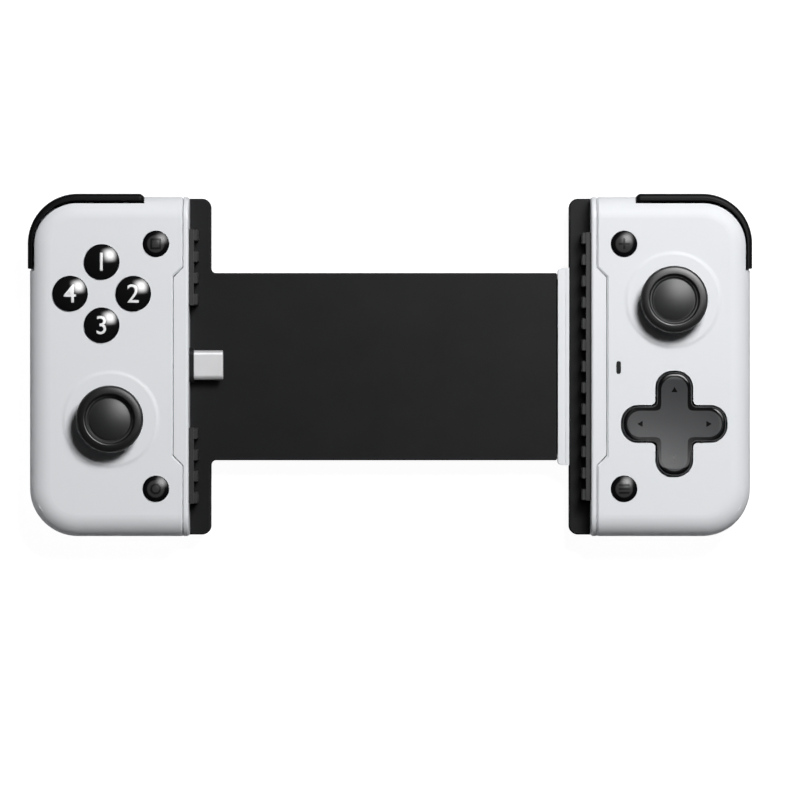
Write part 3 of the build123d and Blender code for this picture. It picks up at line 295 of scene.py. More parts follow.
def tone_drift_group():
    """A colour that drifts a little over the piece, as pigment does."""
    tree, given, made = new_group(
        "Tone drift",
        [("Colour", "NodeSocketColor", (0.5, 0.5, 0.5, 1)), ("Drift", "NodeSocketFloat", 0.03),
         ("Patch size", "NodeSocketFloat", 0.02)],
        [("Colour", "NodeSocketColor")])
    per_metre = math_node(tree, "DIVIDE", 1.0, given.outputs["Patch size"])
    noise = add(tree, "ShaderNodeTexNoise", Scale=1.0, Detail=4.0, Roughness=0.55)
    tree.links.new(object_point(tree, per_metre), noise.inputs["Vector"])
    centred = math_node(tree, "SUBTRACT", noise.outputs["Fac"], 0.5)
    factor = math_node(tree, "MULTIPLY_ADD", centred, given.outputs["Drift"])
    factor.node.inputs[2].default_value = 1.0
    scaled = add(tree, "ShaderNodeVectorMath", operation="SCALE")
    tree.links.new(given.outputs["Colour"], scaled.inputs[0])
    tree.links.new(factor, scaled.inputs["Scale"])
    tree.links.new(scaled.outputs["Vector"], made.inputs["Colour"])
    return tree


def rubbed_edge_group():
    """A mask that is 1 on sharp outer edges, broken up by fine noise."""
    tree, given, made = new_group(
        "Rubbed edge",
        [("Width", "NodeSocketFloat", 0.0003), ("Amount", "NodeSocketFloat", 1.0)],
        [("Mask", "NodeSocketFloat")])
    bevel = add(tree, "ShaderNodeBevel", samples=4)
    tree.links.new(given.outputs["Width"], bevel.inputs["Radius"])
    true_normal = tree.nodes.new("ShaderNodeNewGeometry").outputs["Normal"]
    dot = add(tree, "ShaderNodeVectorMath", operation="DOT_PRODUCT")
    tree.links.new(bevel.outputs["Normal"], dot.inputs[0])
    tree.links.new(true_normal, dot.inputs[1])
    turned = math_node(tree, "SUBTRACT", 1.0, dot.outputs["Value"])
    noise = add(tree, "ShaderNodeTexNoise", Scale=1800.0, Detail=2.0)
    tree.links.new(tree.nodes.new("ShaderNodeTexCoord").outputs["Object"], noise.inputs["Vector"])
    broken = math_node(tree, "MULTIPLY", turned, noise.outputs["Fac"])
    grown = math_node(tree, "MULTIPLY", broken, EDGE_STEEPNESS, clamp=True)
    tree.links.new(math_node(tree, "MULTIPLY", grown, given.outputs["Amount"]), made.inputs["Mask"])
    return tree


def tilt_mask_group():
    """A mask that is 1 where a face leans away from the piece's own Z axis, as on a rounded rim."""
    tree, given, made = new_group(
        "Tilt mask", [("Level", "NodeSocketFloat", 0.97), ("Softness", "NodeSocketFloat", 0.02)],
        [("Mask", "NodeSocketFloat")])
    parts = tree.nodes.new("ShaderNodeSeparateXYZ")
    tree.links.new(tree.nodes.new("ShaderNodeTexCoord").outputs["Normal"], parts.inputs["Vector"])
    below = math_node(tree, "SUBTRACT", given.outputs["Level"], parts.outputs["Z"])
    mask = math_node(tree, "DIVIDE", below, given.outputs["Softness"], clamp=True)
    tree.links.new(mask, made.inputs["Mask"])
    return tree


def height_mask_group():
    """A mask that is 1 above a height of the piece's own space."""
    tree, given, made = new_group(
        "Height mask", [("Level", "NodeSocketFloat", 0.0), ("Softness", "NodeSocketFloat", 0.0001)],
        [("Mask", "NodeSocketFloat")])
    parts = tree.nodes.new("ShaderNodeSeparateXYZ")
    tree.links.new(tree.nodes.new("ShaderNodeTexCoord").outputs["Object"], parts.inputs["Vector"])
    above = math_node(tree, "SUBTRACT", parts.outputs["Z"], given.outputs["Level"])
    mask = math_node(tree, "DIVIDE", above, given.outputs["Softness"], clamp=True)
    tree.links.new(mask, made.inputs["Mask"])
    return tree


def cross_border_group():
    """A mask that is 1 in a band inside the outline of a plus with round ends."""
    tree, given, made = new_group(
        "Cross border",
        [("Centre", "NodeSocketVector", (0, 0, 0)), ("Half span", "NodeSocketFloat", 0.014),
         ("Half arm", "NodeSocketFloat", 0.005), ("Border", "NodeSocketFloat", 0.001)],
        [("Mask", "NodeSocketFloat")])
    from_centre = add(tree, "ShaderNodeVectorMath", operation="SUBTRACT")
    tree.links.new(tree.nodes.new("ShaderNodeTexCoord").outputs["Object"], from_centre.inputs[0])
    tree.links.new(given.outputs["Centre"], from_centre.inputs[1])
    size = add(tree, "ShaderNodeVectorMath", operation="ABSOLUTE")
    tree.links.new(from_centre.outputs["Vector"], size.inputs[0])
    parts = tree.nodes.new("ShaderNodeSeparateXYZ")
    tree.links.new(size.outputs["Vector"], parts.inputs["Vector"])
    straight = math_node(tree, "SUBTRACT", given.outputs["Half span"], given.outputs["Half arm"])
    ranges = []
    for along, across in (("X", "Y"), ("Y", "X")):
        past = math_node(tree, "MAXIMUM", math_node(tree, "SUBTRACT", parts.outputs[along], straight), 0.0)
        spot = tree.nodes.new("ShaderNodeCombineXYZ")
        tree.links.new(past, spot.inputs["X"])
        tree.links.new(parts.outputs[across], spot.inputs["Y"])
        far = add(tree, "ShaderNodeVectorMath", operation="LENGTH")
        tree.links.new(spot.outputs["Vector"], far.inputs[0])
        ranges.append(far.outputs["Value"])
    nearest = math_node(tree, "SMOOTH_MIN", *ranges)
    nearest.node.inputs[2].default_value = PAD_INNER_ROUND
    inner = math_node(tree, "SUBTRACT", given.outputs["Half arm"], given.outputs["Border"])
    over = math_node(tree, "SUBTRACT", nearest, inner)
    mask = math_node(tree, "MULTIPLY", over, BORDER_STEEPNESS, clamp=True)
    tree.links.new(mask, made.inputs["Mask"])
    return tree


def drawn_metal_group():
    """Fine lines along one axis, as on drawn wire and rolled sheet."""
    tree, given, made = new_group(
        "Drawn metal",
        [("Stretch", "NodeSocketVector", (300.0, 9000.0, 9000.0)), ("Roughness", "NodeSocketFloat", 0.3),
         ("Spread", "NodeSocketFloat", 0.15)],
        [("Height", "NodeSocketFloat"), ("Roughness", "NodeSocketFloat")])
    point = add(tree, "ShaderNodeVectorMath", operation="MULTIPLY")
    tree.links.new(tree.nodes.new("ShaderNodeTexCoord").outputs["Object"], point.inputs[0])
    tree.links.new(given.outputs["Stretch"], point.inputs[1])
    lines = add(tree, "ShaderNodeTexNoise", Scale=1.0, Detail=3.0)
    tree.links.new(point.outputs["Vector"], lines.inputs["Vector"])
    tree.links.new(lines.outputs["Fac"], made.inputs["Height"])
    centred = math_node(tree, "SUBTRACT", lines.outputs["Fac"], 0.5)
    rough = math_node(tree, "MULTIPLY_ADD", centred, given.outputs["Spread"])
    tree.links.new(given.outputs["Roughness"], rough.node.inputs[2])
    tree.links.new(rough, made.inputs["Roughness"])
    return tree


GROUP_MAKERS = {
    "Moulded grain": moulded_grain_group, "Tone drift": tone_drift_group, "Rubbed edge": rubbed_edge_group,
    "Tilt mask": tilt_mask_group, "Height mask": height_mask_group, "Cross border": cross_border_group,
    "Drawn metal": drawn_metal_group,
}


def effect(tree, name, **values):
    """A node of one effect's group, which is built the first time it is asked for."""
    node = tree.nodes.new("ShaderNodeGroup")
    node.node_tree = bpy.data.node_groups.get(name) or GROUP_MAKERS[name]()
    for key, value in values.items():
        node.inputs[key.replace("_", " ")].default_value = value
    return node


def bump(tree, height, depth, strength, shader):
    """Sends a height to the shader's normal."""
    node = add(tree, "ShaderNodeBump", Strength=strength, Distance=depth)
    tree.links.new(height, node.inputs["Height"])
    tree.links.new(node.outputs["Normal"], shader.inputs["Normal"])


def blank_material(name):
    """A new node material and its Principled shader."""
    material = bpy.data.materials.new(name)
    material.use_nodes = True
    return material, material.node_tree, material.node_tree.nodes["Principled BSDF"]


def mixed(tree, mask, first, second):
    """A colour that turns from a socket's into a set one where a mask is 1."""
    mix = add(tree, "ShaderNodeMix", data_type="RGBA")
    mix.inputs[7].default_value = (*second, 1)
    tree.links.new(mask, mix.inputs[0])
    tree.links.new(first, mix.inputs[6])
    return mix.outputs[2]


def steep_rim_shade_mask(tree):
    """Where a face leans away from the piece's axis; the small buttons' steep rims get painted shade there.
    """
    return effect(tree, "Tilt mask", Level=TILT_LEVEL, Softness=TILT_SOFTNESS).outputs["Mask"]


def height_mask(tree, level):
    """Where the piece is higher than a level in its rest pose."""
    return effect(tree, "Height mask", Level=level, Softness=HEIGHT_SOFTNESS).outputs["Mask"]


def pad_border_shade_mask(tree):
    """Border of the direction pad, where its rounded edge gets painted shade."""
    low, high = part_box("direction_pad")
    half_arm = bpy.context.scene.controller_sizes.pad_arm_width / 2
    node = effect(tree, "Cross border", Centre=tuple((low + high) / 2),
                  Half_span=(high.x - low.x) / 2 - PAD_INSET, Half_arm=half_arm, Border=PAD_BORDER)
    return node.outputs["Mask"]


def moulded_material(name, colour, roughness, grain, depth, strength, drift, spread=0.08, specular=0.5,
                     coat=0.0, edge=0.0, edge_colour=(0.09, 0.09, 0.095), edge_width=0.0003,
                     dark_where=None, dark=(0.004, 0.004, 0.0045), dark_roughness=0.16):
    """Moulded plastic or rubber: drifting pigment, fine grain, rubbed edges and painted shade on a masked
    part.
    """
    material, tree, shader = blank_material(name)
    tone = effect(tree, "Tone drift", Colour=(*colour, 1), Drift=drift, Patch_size=PLASTIC_PATCH)
    surface = effect(tree, "Moulded grain", Grain_size=grain, Roughness=roughness, Spread=spread)
    colour_out = tone.outputs["Colour"]
    if edge:
        rub = effect(tree, "Rubbed edge", Width=edge_width, Amount=edge)
        colour_out = mixed(tree, rub.outputs["Mask"], colour_out, edge_colour)
    roughness_out = surface.outputs["Roughness"]
    # Painted shade: the masked part gets a darker colour and its own roughness.
    if dark_where:
        mask = dark_where(tree)
        colour_out = mixed(tree, mask, colour_out, dark)
        blend = add(tree, "ShaderNodeMix", data_type="FLOAT")
        blend.inputs[3].default_value = dark_roughness
        tree.links.new(mask, blend.inputs[0])
        tree.links.new(roughness_out, blend.inputs[2])
        roughness_out = blend.outputs[0]
    tree.links.new(colour_out, shader.inputs["Base Color"])
    tree.links.new(roughness_out, shader.inputs["Roughness"])
    bump(tree, surface.outputs["Height"], depth, strength, shader)
    shader.inputs["Specular IOR Level"].default_value = specular
    shader.inputs["Coat Weight"].default_value = coat
    shader.inputs["Coat Roughness"].default_value = 0.05
    return material


def metal_material(name, colour, roughness, stretch=(300.0, 9000.0, 9000.0), metallic=1.0):
    """Plated, drawn or ground metal with fine lines."""
    material, tree, shader = blank_material(name)
    tone = effect(tree, "Tone drift", Colour=(*colour, 1), Drift=0.06, Patch_size=METAL_PATCH)
    lines = effect(tree, "Drawn metal", Stretch=stretch, Roughness=roughness, Spread=0.15)
    tree.links.new(tone.outputs["Colour"], shader.inputs["Base Color"])
    tree.links.new(lines.outputs["Roughness"], shader.inputs["Roughness"])
    bump(tree, lines.outputs["Height"], 0.000004, 0.2, shader)
    shader.inputs["Metallic"].default_value = metallic
    return material


def circuit_material(name, colour, roughness):
    """Green solder mask over a woven laminate, with copper tracks showing as a paler pattern."""
    material, tree, shader = blank_material(name)
    point = tree.nodes.new("ShaderNodeTexCoord").outputs["Object"]
    tracks = add(tree, "ShaderNodeTexBrick", offset=0.5, Scale=260.0)
    tracks.inputs["Color1"].default_value = (*colour, 1)
    tracks.inputs["Color2"].default_value = (0.012, 0.105, 0.042, 1)
    tracks.inputs["Mortar"].default_value = (0.020, 0.160, 0.065, 1)
    tracks.inputs["Mortar Size"].default_value = 0.06
    tree.links.new(point, tracks.inputs["Vector"])
    tree.links.new(tracks.outputs["Color"], shader.inputs["Base Color"])
    surface = effect(tree, "Moulded grain", Grain_size=0.0004, Roughness=roughness, Spread=0.1)
    tree.links.new(surface.outputs["Roughness"], shader.inputs["Roughness"])
    bump(tree, tracks.outputs["Fac"], 0.00003, 0.3, shader)
    return material


def plastic(colour, roughness, grain=0.0003, depth=0.00001, strength=0.2, drift=0.2, **others):
    """Entry of the finish table for a moulded piece."""
    return moulded_material, colour, roughness, {
        "grain": grain, "depth": depth, "strength": strength, "drift": drift, **others}


def metal(colour, roughness, **others):
    """Entry of the finish table for a metal piece."""
    return metal_material, colour, roughness, others


def finishes():
    """Maker, colour, roughness and other settings of each finish: the record's slots, then the rest."""
    finish = bpy.context.scene.controller_finish
    cap_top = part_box("left_stick_cap")[1].z
    return {
        "white_shell": plastic(
            finish.white, 0.42, grain=finish.grain, strength=0.12, drift=0.025, specular=0.12),
        "white_trim": plastic(finish.trim, 0.42, grain=finish.grain, strength=0.12, drift=0.025),
        "black_shell": plastic(
            finish.black, 0.34, grain=finish.grain, depth=0.00002, strength=0.3, drift=0.25,
            specular=0.10, edge=0.5),
        "black_gloss": plastic(
            finish.gloss, 0.09, grain=0.0006, depth=0.000002, strength=0.05, spread=0.03,
            specular=0.8, coat=0.2),
        "bumper_black": plastic((0.004, 0.004, 0.0045), 0.42, specular=0.08),
        # The direction pad's rounded border is painted dark: painted shade.
        "pad_grey": plastic(
            finish.pad, 0.36, grain=0.00018, strength=0.25, drift=0.15, dark_where=pad_border_shade_mask),
        # The top of the stick caps' rims is painted darker: painted shade.
        "stick_rubber": plastic(
            finish.rubber, 0.42, grain=0.00016, depth=0.00002, strength=0.3, drift=0.25,
            dark=(0.008, 0.008, 0.0085), dark_roughness=0.30,
            dark_where=lambda tree: height_mask(tree, cap_top - CAP_PAINTED_SHADE_DEPTH)),
        "pad_rubber": plastic(
            (0.014, 0.014, 0.015), 0.5, grain=0.0002, depth=0.00002, strength=0.35, drift=0.3,
            specular=0.35, edge=0.6, edge_colour=(0.07, 0.07, 0.072), edge_width=0.0002),
        "membrane_rubber": plastic((0.55, 0.56, 0.56), 0.5, strength=0.3, drift=0.08),
        "circuit_green": (circuit_material, (0.010, 0.085, 0.034), 0.32, {}),
        "module_metal": metal((0.62, 0.62, 0.60), 0.34),
        "gimbal_plastic": plastic((0.13, 0.13, 0.135), 0.4, grain=0.0002, strength=0.3, drift=0.1),
        "pin_steel": metal((0.60, 0.60, 0.60), 0.22, stretch=(9000.0, 9000.0, 400.0)),
        "spring_steel": metal((0.48, 0.48, 0.47), 0.26),
        "screw_steel": metal((0.05, 0.05, 0.055), 0.38, stretch=(4000.0, 4000.0, 4000.0)),
        "plug_metal": metal((0.58, 0.58, 0.59), 0.46, stretch=(3000.0, 8000.0, 8000.0), metallic=0.3),
        "ribbon_film": plastic((0.36, 0.13, 0.02), 0.35, grain=0.0008, strength=0.1, specular=0.3),
        "light_pipe": plastic(
            (0.012, 0.012, 0.013), 0.15, grain=0.0004, depth=0.000002, strength=0.1, drift=0.04),
        "tongue_black": plastic((0.020, 0.020, 0.021), 0.4, grain=0.0002, depth=0.00002, strength=0.3),
        "figure_ink": plastic(finish.ink, 0.35, depth=0.000006, drift=0.05),
        # The small buttons' steep rims are painted dark: painted shade.
        "small_button": plastic(
            (0.042, 0.042, 0.043), 0.24, depth=0.000006, specular=0.3, dark_where=steep_rim_shade_mask),
        "mark_ink": plastic((0.004, 0.004, 0.004), 0.4, depth=0.000006, drift=0.1, specular=0.2),
        "contact_gold": metal((0.83, 0.58, 0.22), 0.25, stretch=(500.0, 9000.0, 9000.0)),
    }


def material_of(finish):
    """The material of one finish, made when it is first asked for."""
    name = finish + "_finish"
    if name not in bpy.data.materials:
        maker, colour, roughness, settings = finishes()[finish]
        maker(name, colour, roughness, **settings)
    return bpy.data.materials[name]


def dress(*nodes, finish=None):
    """Gives CAD nodes the finish of their slots, or another one."""
    for name in nodes:
        mesh = frame["nodes"][name].data
        mesh.materials.clear()
        mesh.materials.append(material_of(finish or slot_of[name]))


def dress_pairs(*names):
    """Dresses the like-named nodes of both grips."""
    dress(*(f"{side}_{name}" for side in SIDES for name in names))


def object_from(shape, name, slot, crease=None, finish=None):
    """Turns a bmesh into an object of the scene, with its slot's finish or another one."""
    mesh = bpy.data.meshes.new(name)
    shape.to_mesh(mesh)
    shape.free()
    mesh.materials.append(material_of(finish or slot))
    piece = bpy.data.objects.new(name, mesh)
    bpy.context.scene.collection.objects.link(piece)
    if crease is not None:
        mesh.shade_smooth()
        mesh.set_sharp_from_angle(angle=math.radians(crease))
    return piece


def surface_tree(node):
    """A search tree of one CAD node's mesh."""
    mesh = frame["nodes"][node].data
    return BVHTree.FromPolygons([v.co for v in mesh.vertices], [list(p.vertices) for p in mesh.polygons])


def lay_on(flat, node, relief, depth):
    """Lays a flat bmesh on a node from above, and gives it a thickness that sinks into the node."""
    tree = surface_tree(node)
    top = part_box(node)[1].z + CLEAR_ABOVE
    for vert in flat.verts:
        hit = tree.ray_cast(Vector((vert.co.x, vert.co.y, top)), Vector((0, 0, -1)))[0]
        if hit is None:
            raise RuntimeError(f"a point of the mark on {node} misses it")
        vert.co.z = hit.z + relief
    upper = list(flat.faces)
    bmesh.ops.recalc_face_normals(flat, faces=upper)
    if sum(face.normal.z for face in upper) < 0:
        bmesh.ops.reverse_faces(flat, faces=upper)
    thicken(flat, upper, (0, 0, -depth))


def thicken(shape, faces, offset):
    """Pulls a copy of the faces away from them and closes the sides."""
    grown = bmesh.ops.extrude_face_region(shape, geom=faces, use_keep_orig=True)["geom"]
    far = [item for item in grown if isinstance(item, bmesh.types.BMVert)]
    bmesh.ops.translate(shape, verts=far, vec=offset)
    bmesh.ops.recalc_face_normals(shape, faces=shape.faces)


def cut_fine(flat, step):
    """Cuts a flat bmesh into a fine grid, so that it can follow a curved surface."""
    for axis in (0, 1):
        low = min(v.co[axis] for v in flat.verts)
        high = max(v.co[axis] for v in flat.verts)
        for k in range(1, int((high - low) / step) + 1):
            place = Vector((0, 0, 0))
            place[axis] = low + k * step
            normal = Vector((0, 0, 0))
            normal[axis] = 1
            bmesh.ops.bisect_plane(
                flat, geom=flat.verts[:] + flat.edges[:] + flat.faces[:], dist=MERGE_DISTANCE,
                plane_co=place, plane_no=normal)


def figure_mesh(text, height, centre):
    """A flat bmesh of one figure, of a set height and centred on a place."""
    curve = bpy.data.curves.new(f"figure {text}", "FONT")
    curve.body = text
    curve.size = height * FONT_SIZE
    curve.offset = height * FONT_WEIGHT
    curve.resolution_u = 6
    holder = bpy.data.objects.new(f"figure {text}", curve)
    bpy.context.scene.collection.objects.link(holder)
    bpy.context.view_layer.update()
    mesh = bpy.data.meshes.new_from_object(holder.evaluated_get(bpy.context.evaluated_depsgraph_get()))
    bpy.data.objects.remove(holder)
    bpy.data.curves.remove(curve)
    flat = bmesh.new()
    flat.from_mesh(mesh)
    bpy.data.meshes.remove(mesh)
    low = Vector([min(v.co[k] for v in flat.verts) for k in range(2)])
    high = Vector([max(v.co[k] for v in flat.verts) for k in range(2)])
    middle = (low + high) / 2
    factor = height / (high.y - low.y)
    bmesh.ops.translate(flat, verts=flat.verts, vec=(-middle.x, -middle.y, 0))
    bmesh.ops.scale(flat, verts=flat.verts, vec=(factor, factor, 1))
    bmesh.ops.translate(flat, verts=flat.verts, vec=(centre.x, centre.y, 0))
    bmesh.ops.remove_doubles(flat, verts=flat.verts, dist=MERGE_DISTANCE)
    return flat


class CONTROLLER_OT_shells(bpy.types.Operator):
    """Finishes the white shells, end covers and the light window"""

    bl_idname = "controller.shells"
    bl_label = "Shells"

    def execute(self, context):
        dress_pairs("front_shell", "back_shell", "end_cover")
        dress("status_light", "bridge_collar")
        return {"FINISHED"}


class CONTROLLER_OT_bridge(bpy.types.Operator):
    """Finishes the bridge's plates, flanges and sliding tongue"""

    bl_idname = "controller.bridge"
    bl_label = "Bridge"

    def execute(self, context):
        dress("bridge_front_plate", "bridge_back_plate", "flange_tray", "slide_tongue")
        return {"FINISHED"}


class CONTROLLER_OT_springs(bpy.types.Operator):
    """Winds the two bridge springs at one length; on the controller they stretch as the grips are drawn apart
    """

    bl_idname = "controller.springs"
    bl_label = "Bridge springs"

    def execute(self, context):
        sizes = context.scene.controller_sizes
        low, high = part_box("bridge_springs")
        wire = sizes.spring_wire / 2
        coil = (high.z - low.z) / 2 - wire
        steps = sizes.spring_turns * TURN_STEPS
        for k, y in enumerate((low.y + coil + wire, high.y - coil - wire)):
            start = Vector((low.x + SPRING_END, y, (low.z + high.z) / 2))
            run = high.x - low.x - 2 * SPRING_END
            spring = bmesh.new()
            upright = Matrix.Rotation(math.pi / 2, 4, "X")
            bmesh.ops.create_circle(
                spring, segments=WIRE_SIDES, radius=wire,
                matrix=Matrix.Translation(start + Vector((0, 0, coil))) @ upright)
            bmesh.ops.spin(
                spring, geom=spring.edges[:], cent=start, axis=(1, 0, 0),
                angle=sizes.spring_turns * math.tau, dvec=(run / steps, 0, 0), steps=steps)
            ends = [e for e in spring.edges if e.is_boundary]
            bmesh.ops.holes_fill(spring, edges=ends, sides=WIRE_SIDES)
            for x, outer in ((start.x, low.x), (start.x + run, high.x)):
                bmesh.ops.create_cone(
                    spring, cap_ends=True, segments=WIRE_SIDES, radius1=wire, radius2=wire,
                    depth=abs(x - outer),
                    matrix=Matrix.Translation(((x + outer) / 2, y, start.z + coil))
                    @ Matrix.Rotation(math.pi / 2, 4, "Y"))
            bmesh.ops.recalc_face_normals(spring, faces=spring.faces)
            piece = object_from(spring, f"bridge_spring_{k + 1}", "spring_steel", crease=60)
            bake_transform(piece)
            if k == 0:
                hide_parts("bridge_springs")
        return {"FINISHED"}


class CONTROLLER_OT_ribbon(bpy.types.Operator):
    """Folds the ribbon cable that crosses the bridge"""

    bl_idname = "controller.ribbon"
    bl_label = "Ribbon cable"

    def execute(self, context):
        sizes = context.scene.controller_sizes
        low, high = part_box("ribbon_cable")
        half = sizes.ribbon_thickness / 2
        bottom, top = low.z + half, high.z - half
        radius = (top - bottom) / 4
        path = straight_run(low.x, sizes.ribbon_fold, bottom)
        path += half_turn(sizes.ribbon_fold, bottom + radius, radius, -90, 90)
        path += straight_run(sizes.ribbon_fold, sizes.ribbon_return, bottom + 2 * radius)
        path += half_turn(sizes.ribbon_return, top - radius, radius, 270, 90)
        path += straight_run(sizes.ribbon_return, high.x, top)
        path.append(Vector((high.x, top)))
        ribbon = bmesh.new()
        sides = {1: [], -1: []}
        for k, point in enumerate(path):
            ahead = (path[min(k + 1, len(path) - 1)] - path[max(k - 1, 0)]).normalized()
            for side, row in sides.items():
                offset = side * half * Vector((-ahead.y, ahead.x))
                row.append(ribbon.verts.new((point.x + offset.x, low.y, point.y + offset.y)))
        faces = [ribbon.faces.new((sides[1][k], sides[1][k + 1], sides[-1][k + 1], sides[-1][k]))
                 for k in range(len(path) - 1)]
        thicken(ribbon, faces, (0, high.y - low.y, 0))
        piece = object_from(ribbon, "ribbon_folded", "ribbon_film", crease=40)
        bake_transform(piece)
        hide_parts("ribbon_cable")
        return {"FINISHED"}


def straight_run(x0, x1, z, step=2 * MM):
    """Points of a level run of the ribbon, its last one left out."""
    count = max(2, round(abs(x1 - x0) / step))
    return [Vector((x0 + (x1 - x0) * k / count, z)) for k in range(count)]


def half_turn(x, z, radius, first, last, count=10):
    """Points of a fold of the ribbon from one angle to another, its last one left out."""
    angles = [math.radians(first + (last - first) * k / count) for k in range(count)]
    return [Vector((x + radius * math.cos(a), z + radius * math.sin(a))) for a in angles]


class CONTROLLER_OT_face_buttons(bpy.types.Operator):
    """Polishes the four face buttons and prints a figure on each"""

    bl_idname = "controller.face_buttons"
    bl_label = "Face buttons"

    def execute(self, context):
        sizes = context.scene.controller_sizes
        dress("face_button_membrane")
        for figure, name in zip("1234", ("top", "right", "bottom", "left")):
            node = f"face_button_{name}"
            dress(node)
            flat = figure_mesh(figure, sizes.figure_height, centre_of[node])
            cut_fine(flat, FIGURE_STEP)
            lay_on(flat, node, sizes.figure_relief, FIGURE_SINK)
            piece = object_from(flat, f"face_figure_{name}", slot_of[node], finish="figure_ink")
            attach(piece, node)
        return {"FINISHED"}


def mark_mesh(kind, size, centre):
    """A flat bmesh of one plain mark: a square outline, a ring, a plus or three bars."""
    flat = bmesh.new()
    line = size * MARK_LINE
    if kind in ("square", "ring"):
        sides, reach, angle = (4, math.sqrt(2), math.pi / 4) if kind == "square" else (RING_SIDES, 1, 0)
        turn = Matrix.Rotation(angle, 4, "Z")
        outer = size / 2 * reach
        inner = outer - line * reach
        rings = [bmesh.ops.create_circle(flat, segments=sides, radius=radius, matrix=turn)["verts"]
                 for radius in (outer, inner)]
        for k in range(sides):
            flat.faces.new((rings[0][k], rings[0][(k + 1) % sides], rings[1][(k + 1) % sides], rings[1][k]))
    else:
        arm = (size - line) / 2
        bars = {
            "plus": ((0, size, line), ((size + line) / 4, line, arm), (-(size + line) / 4, line, arm)),
            "bars": ((0, size, line), (size * BAR_PLACE, size, line), (-size * BAR_PLACE, size, line)),
        }
        for y, width, height in bars[kind]:
            shape = Matrix.Translation((0, y, 0)) @ Matrix.Diagonal((width / 2, height / 2, 1, 1))
            bmesh.ops.create_grid(flat, x_segments=1, y_segments=1, size=1.0, matrix=shape)
    bmesh.ops.translate(flat, verts=flat.verts, vec=(centre.x, centre.y, 0))
    bmesh.ops.remove_doubles(flat, verts=flat.verts, dist=10 * MERGE_DISTANCE)
    return flat


class CONTROLLER_OT_small_buttons(bpy.types.Operator):
    """Finishes the four small round buttons and prints a plain mark on each"""

    bl_idname = "controller.small_buttons"
    bl_label = "Small buttons"

    def execute(self, context):
        sizes = context.scene.controller_sizes
        for name, kind in MARKS.items():
            node = f"{name}_button"
            dress(node, finish="small_button")
            flat = mark_mesh(kind, sizes.mark_size, centre_of[node])
            cut_fine(flat, MARK_STEP)
            lay_on(flat, node, MARK_RELIEF, MARK_SINK)
            piece = object_from(flat, f"mark_{name}", slot_of[node], finish="mark_ink")
            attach(piece, node)
        return {"FINISHED"}


class CONTROLLER_OT_thumb_sticks(bpy.types.Operator):
    """Finishes the thumb sticks' caps, posts, gimbals and bases"""

    bl_idname = "controller.thumb_sticks"
    bl_label = "Thumb sticks"

    def execute(self, context):
        dress_pairs("stick_cap", "stick_post", "stick_carrier", "stick_rocker", "stick_base")
        return {"FINISHED"}


class CONTROLLER_OT_direction_pad(bpy.types.Operator):
    """Finishes the direction pad and sets its four arrows"""

    bl_idname = "controller.direction_pad"
    bl_label = "Direction pad"

    def execute(self, context):
        sizes = context.scene.controller_sizes
        dress("direction_pad", "direction_pad_membrane", "direction_pad_pivot")
        middle = centre_of["direction_pad"]
        for name, turn in (("right", 0.0), ("up", 90.0), ("left", 180.0), ("down", 270.0)):
            angle = math.radians(turn)
            place = middle + sizes.arrow_place * Vector((math.cos(angle), math.sin(angle), 0))
            outward = Matrix.Rotation(angle - math.pi / 2, 4, "Z")
            arrow = bmesh.new()
            bmesh.ops.create_circle(
                arrow, cap_ends=True, segments=3, radius=sizes.arrow_width / math.sqrt(3),
                matrix=Matrix.Translation((place.x, place.y, 0)) @ outward)
            bmesh.ops.bevel(arrow, geom=arrow.verts[:], affect="VERTICES", offset=ARROW_CORNER, segments=3,
                            profile=0.5, material=-1)
            cut_fine(arrow, ARROW_STEP)
            lay_on(arrow, "direction_pad", ARROW_RELIEF, ARROW_SINK)
            piece = object_from(arrow, f"pad_arrow_{name}", "black_gloss")
            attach(piece, "direction_pad")
        return {"FINISHED"}


class CONTROLLER_OT_shoulders(bpy.types.Operator):
    """Finishes the bumpers and triggers with their pins, switches and springs"""

    bl_idname = "controller.shoulders"
    bl_label = "Shoulder buttons"

    def execute(self, context):
        dress_pairs("bumper", "bumper_pin", "bumper_switch", "trigger", "trigger_pin", "trigger_spring")
        return {"FINISHED"}


class CONTROLLER_OT_plug(bpy.types.Operator):
    """Plates the phone plug and lays the contacts on its tongue"""

    bl_idname = "controller.plug"
    bl_label = "Phone plug"

    def execute(self, context):
        sizes = context.scene.controller_sizes
        dress("plug_shell", "plug_tongue", "plug_collar")
        low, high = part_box("plug_tongue")
        count = sizes.contact_count
        pitch = (high.y - low.y) / (count + 1)
        length = (high.x - low.x) * CONTACT_LENGTH
        contacts = bmesh.new()
        for k in range(count):
            for z in (low.z, high.z):
                place = Vector((high.x - length / 2 - CONTACT_INSET, low.y + (k + 1) * pitch, z))
                size = Matrix.Diagonal((length, pitch * CONTACT_WIDTH, CONTACT_THICKNESS, 1))
                bmesh.ops.create_cube(contacts, size=1.0, matrix=Matrix.Translation(place) @ size)
        bmesh.ops.bevel(contacts, geom=contacts.edges[:], affect="EDGES", offset=CONTACT_BEVEL, segments=1,
                        profile=0.5, material=-1)
        piece = object_from(contacts, "plug_contacts", "plug_metal", finish="contact_gold")
        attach(piece, ROOT)
        return {"FINISHED"}


class CONTROLLER_OT_phone_pads(bpy.types.Operator):
    """Finishes the rubber pads that hold the phone"""

    bl_idname = "controller.phone_pads"
    bl_label = "Phone pads"

    def execute(self, context):
        dress("left_phone_pads", "right_phone_pad")
        return {"FINISHED"}


class CONTROLLER_OT_inside(bpy.types.Operator):
    """Finishes the circuit boards and screws"""

    bl_idname = "controller.inside"
    bl_label = "Boards and screws"

    def execute(self, context):
        dress_pairs("circuit_board", "housing_screws", "tie_screws")
        return {"FINISHED"}


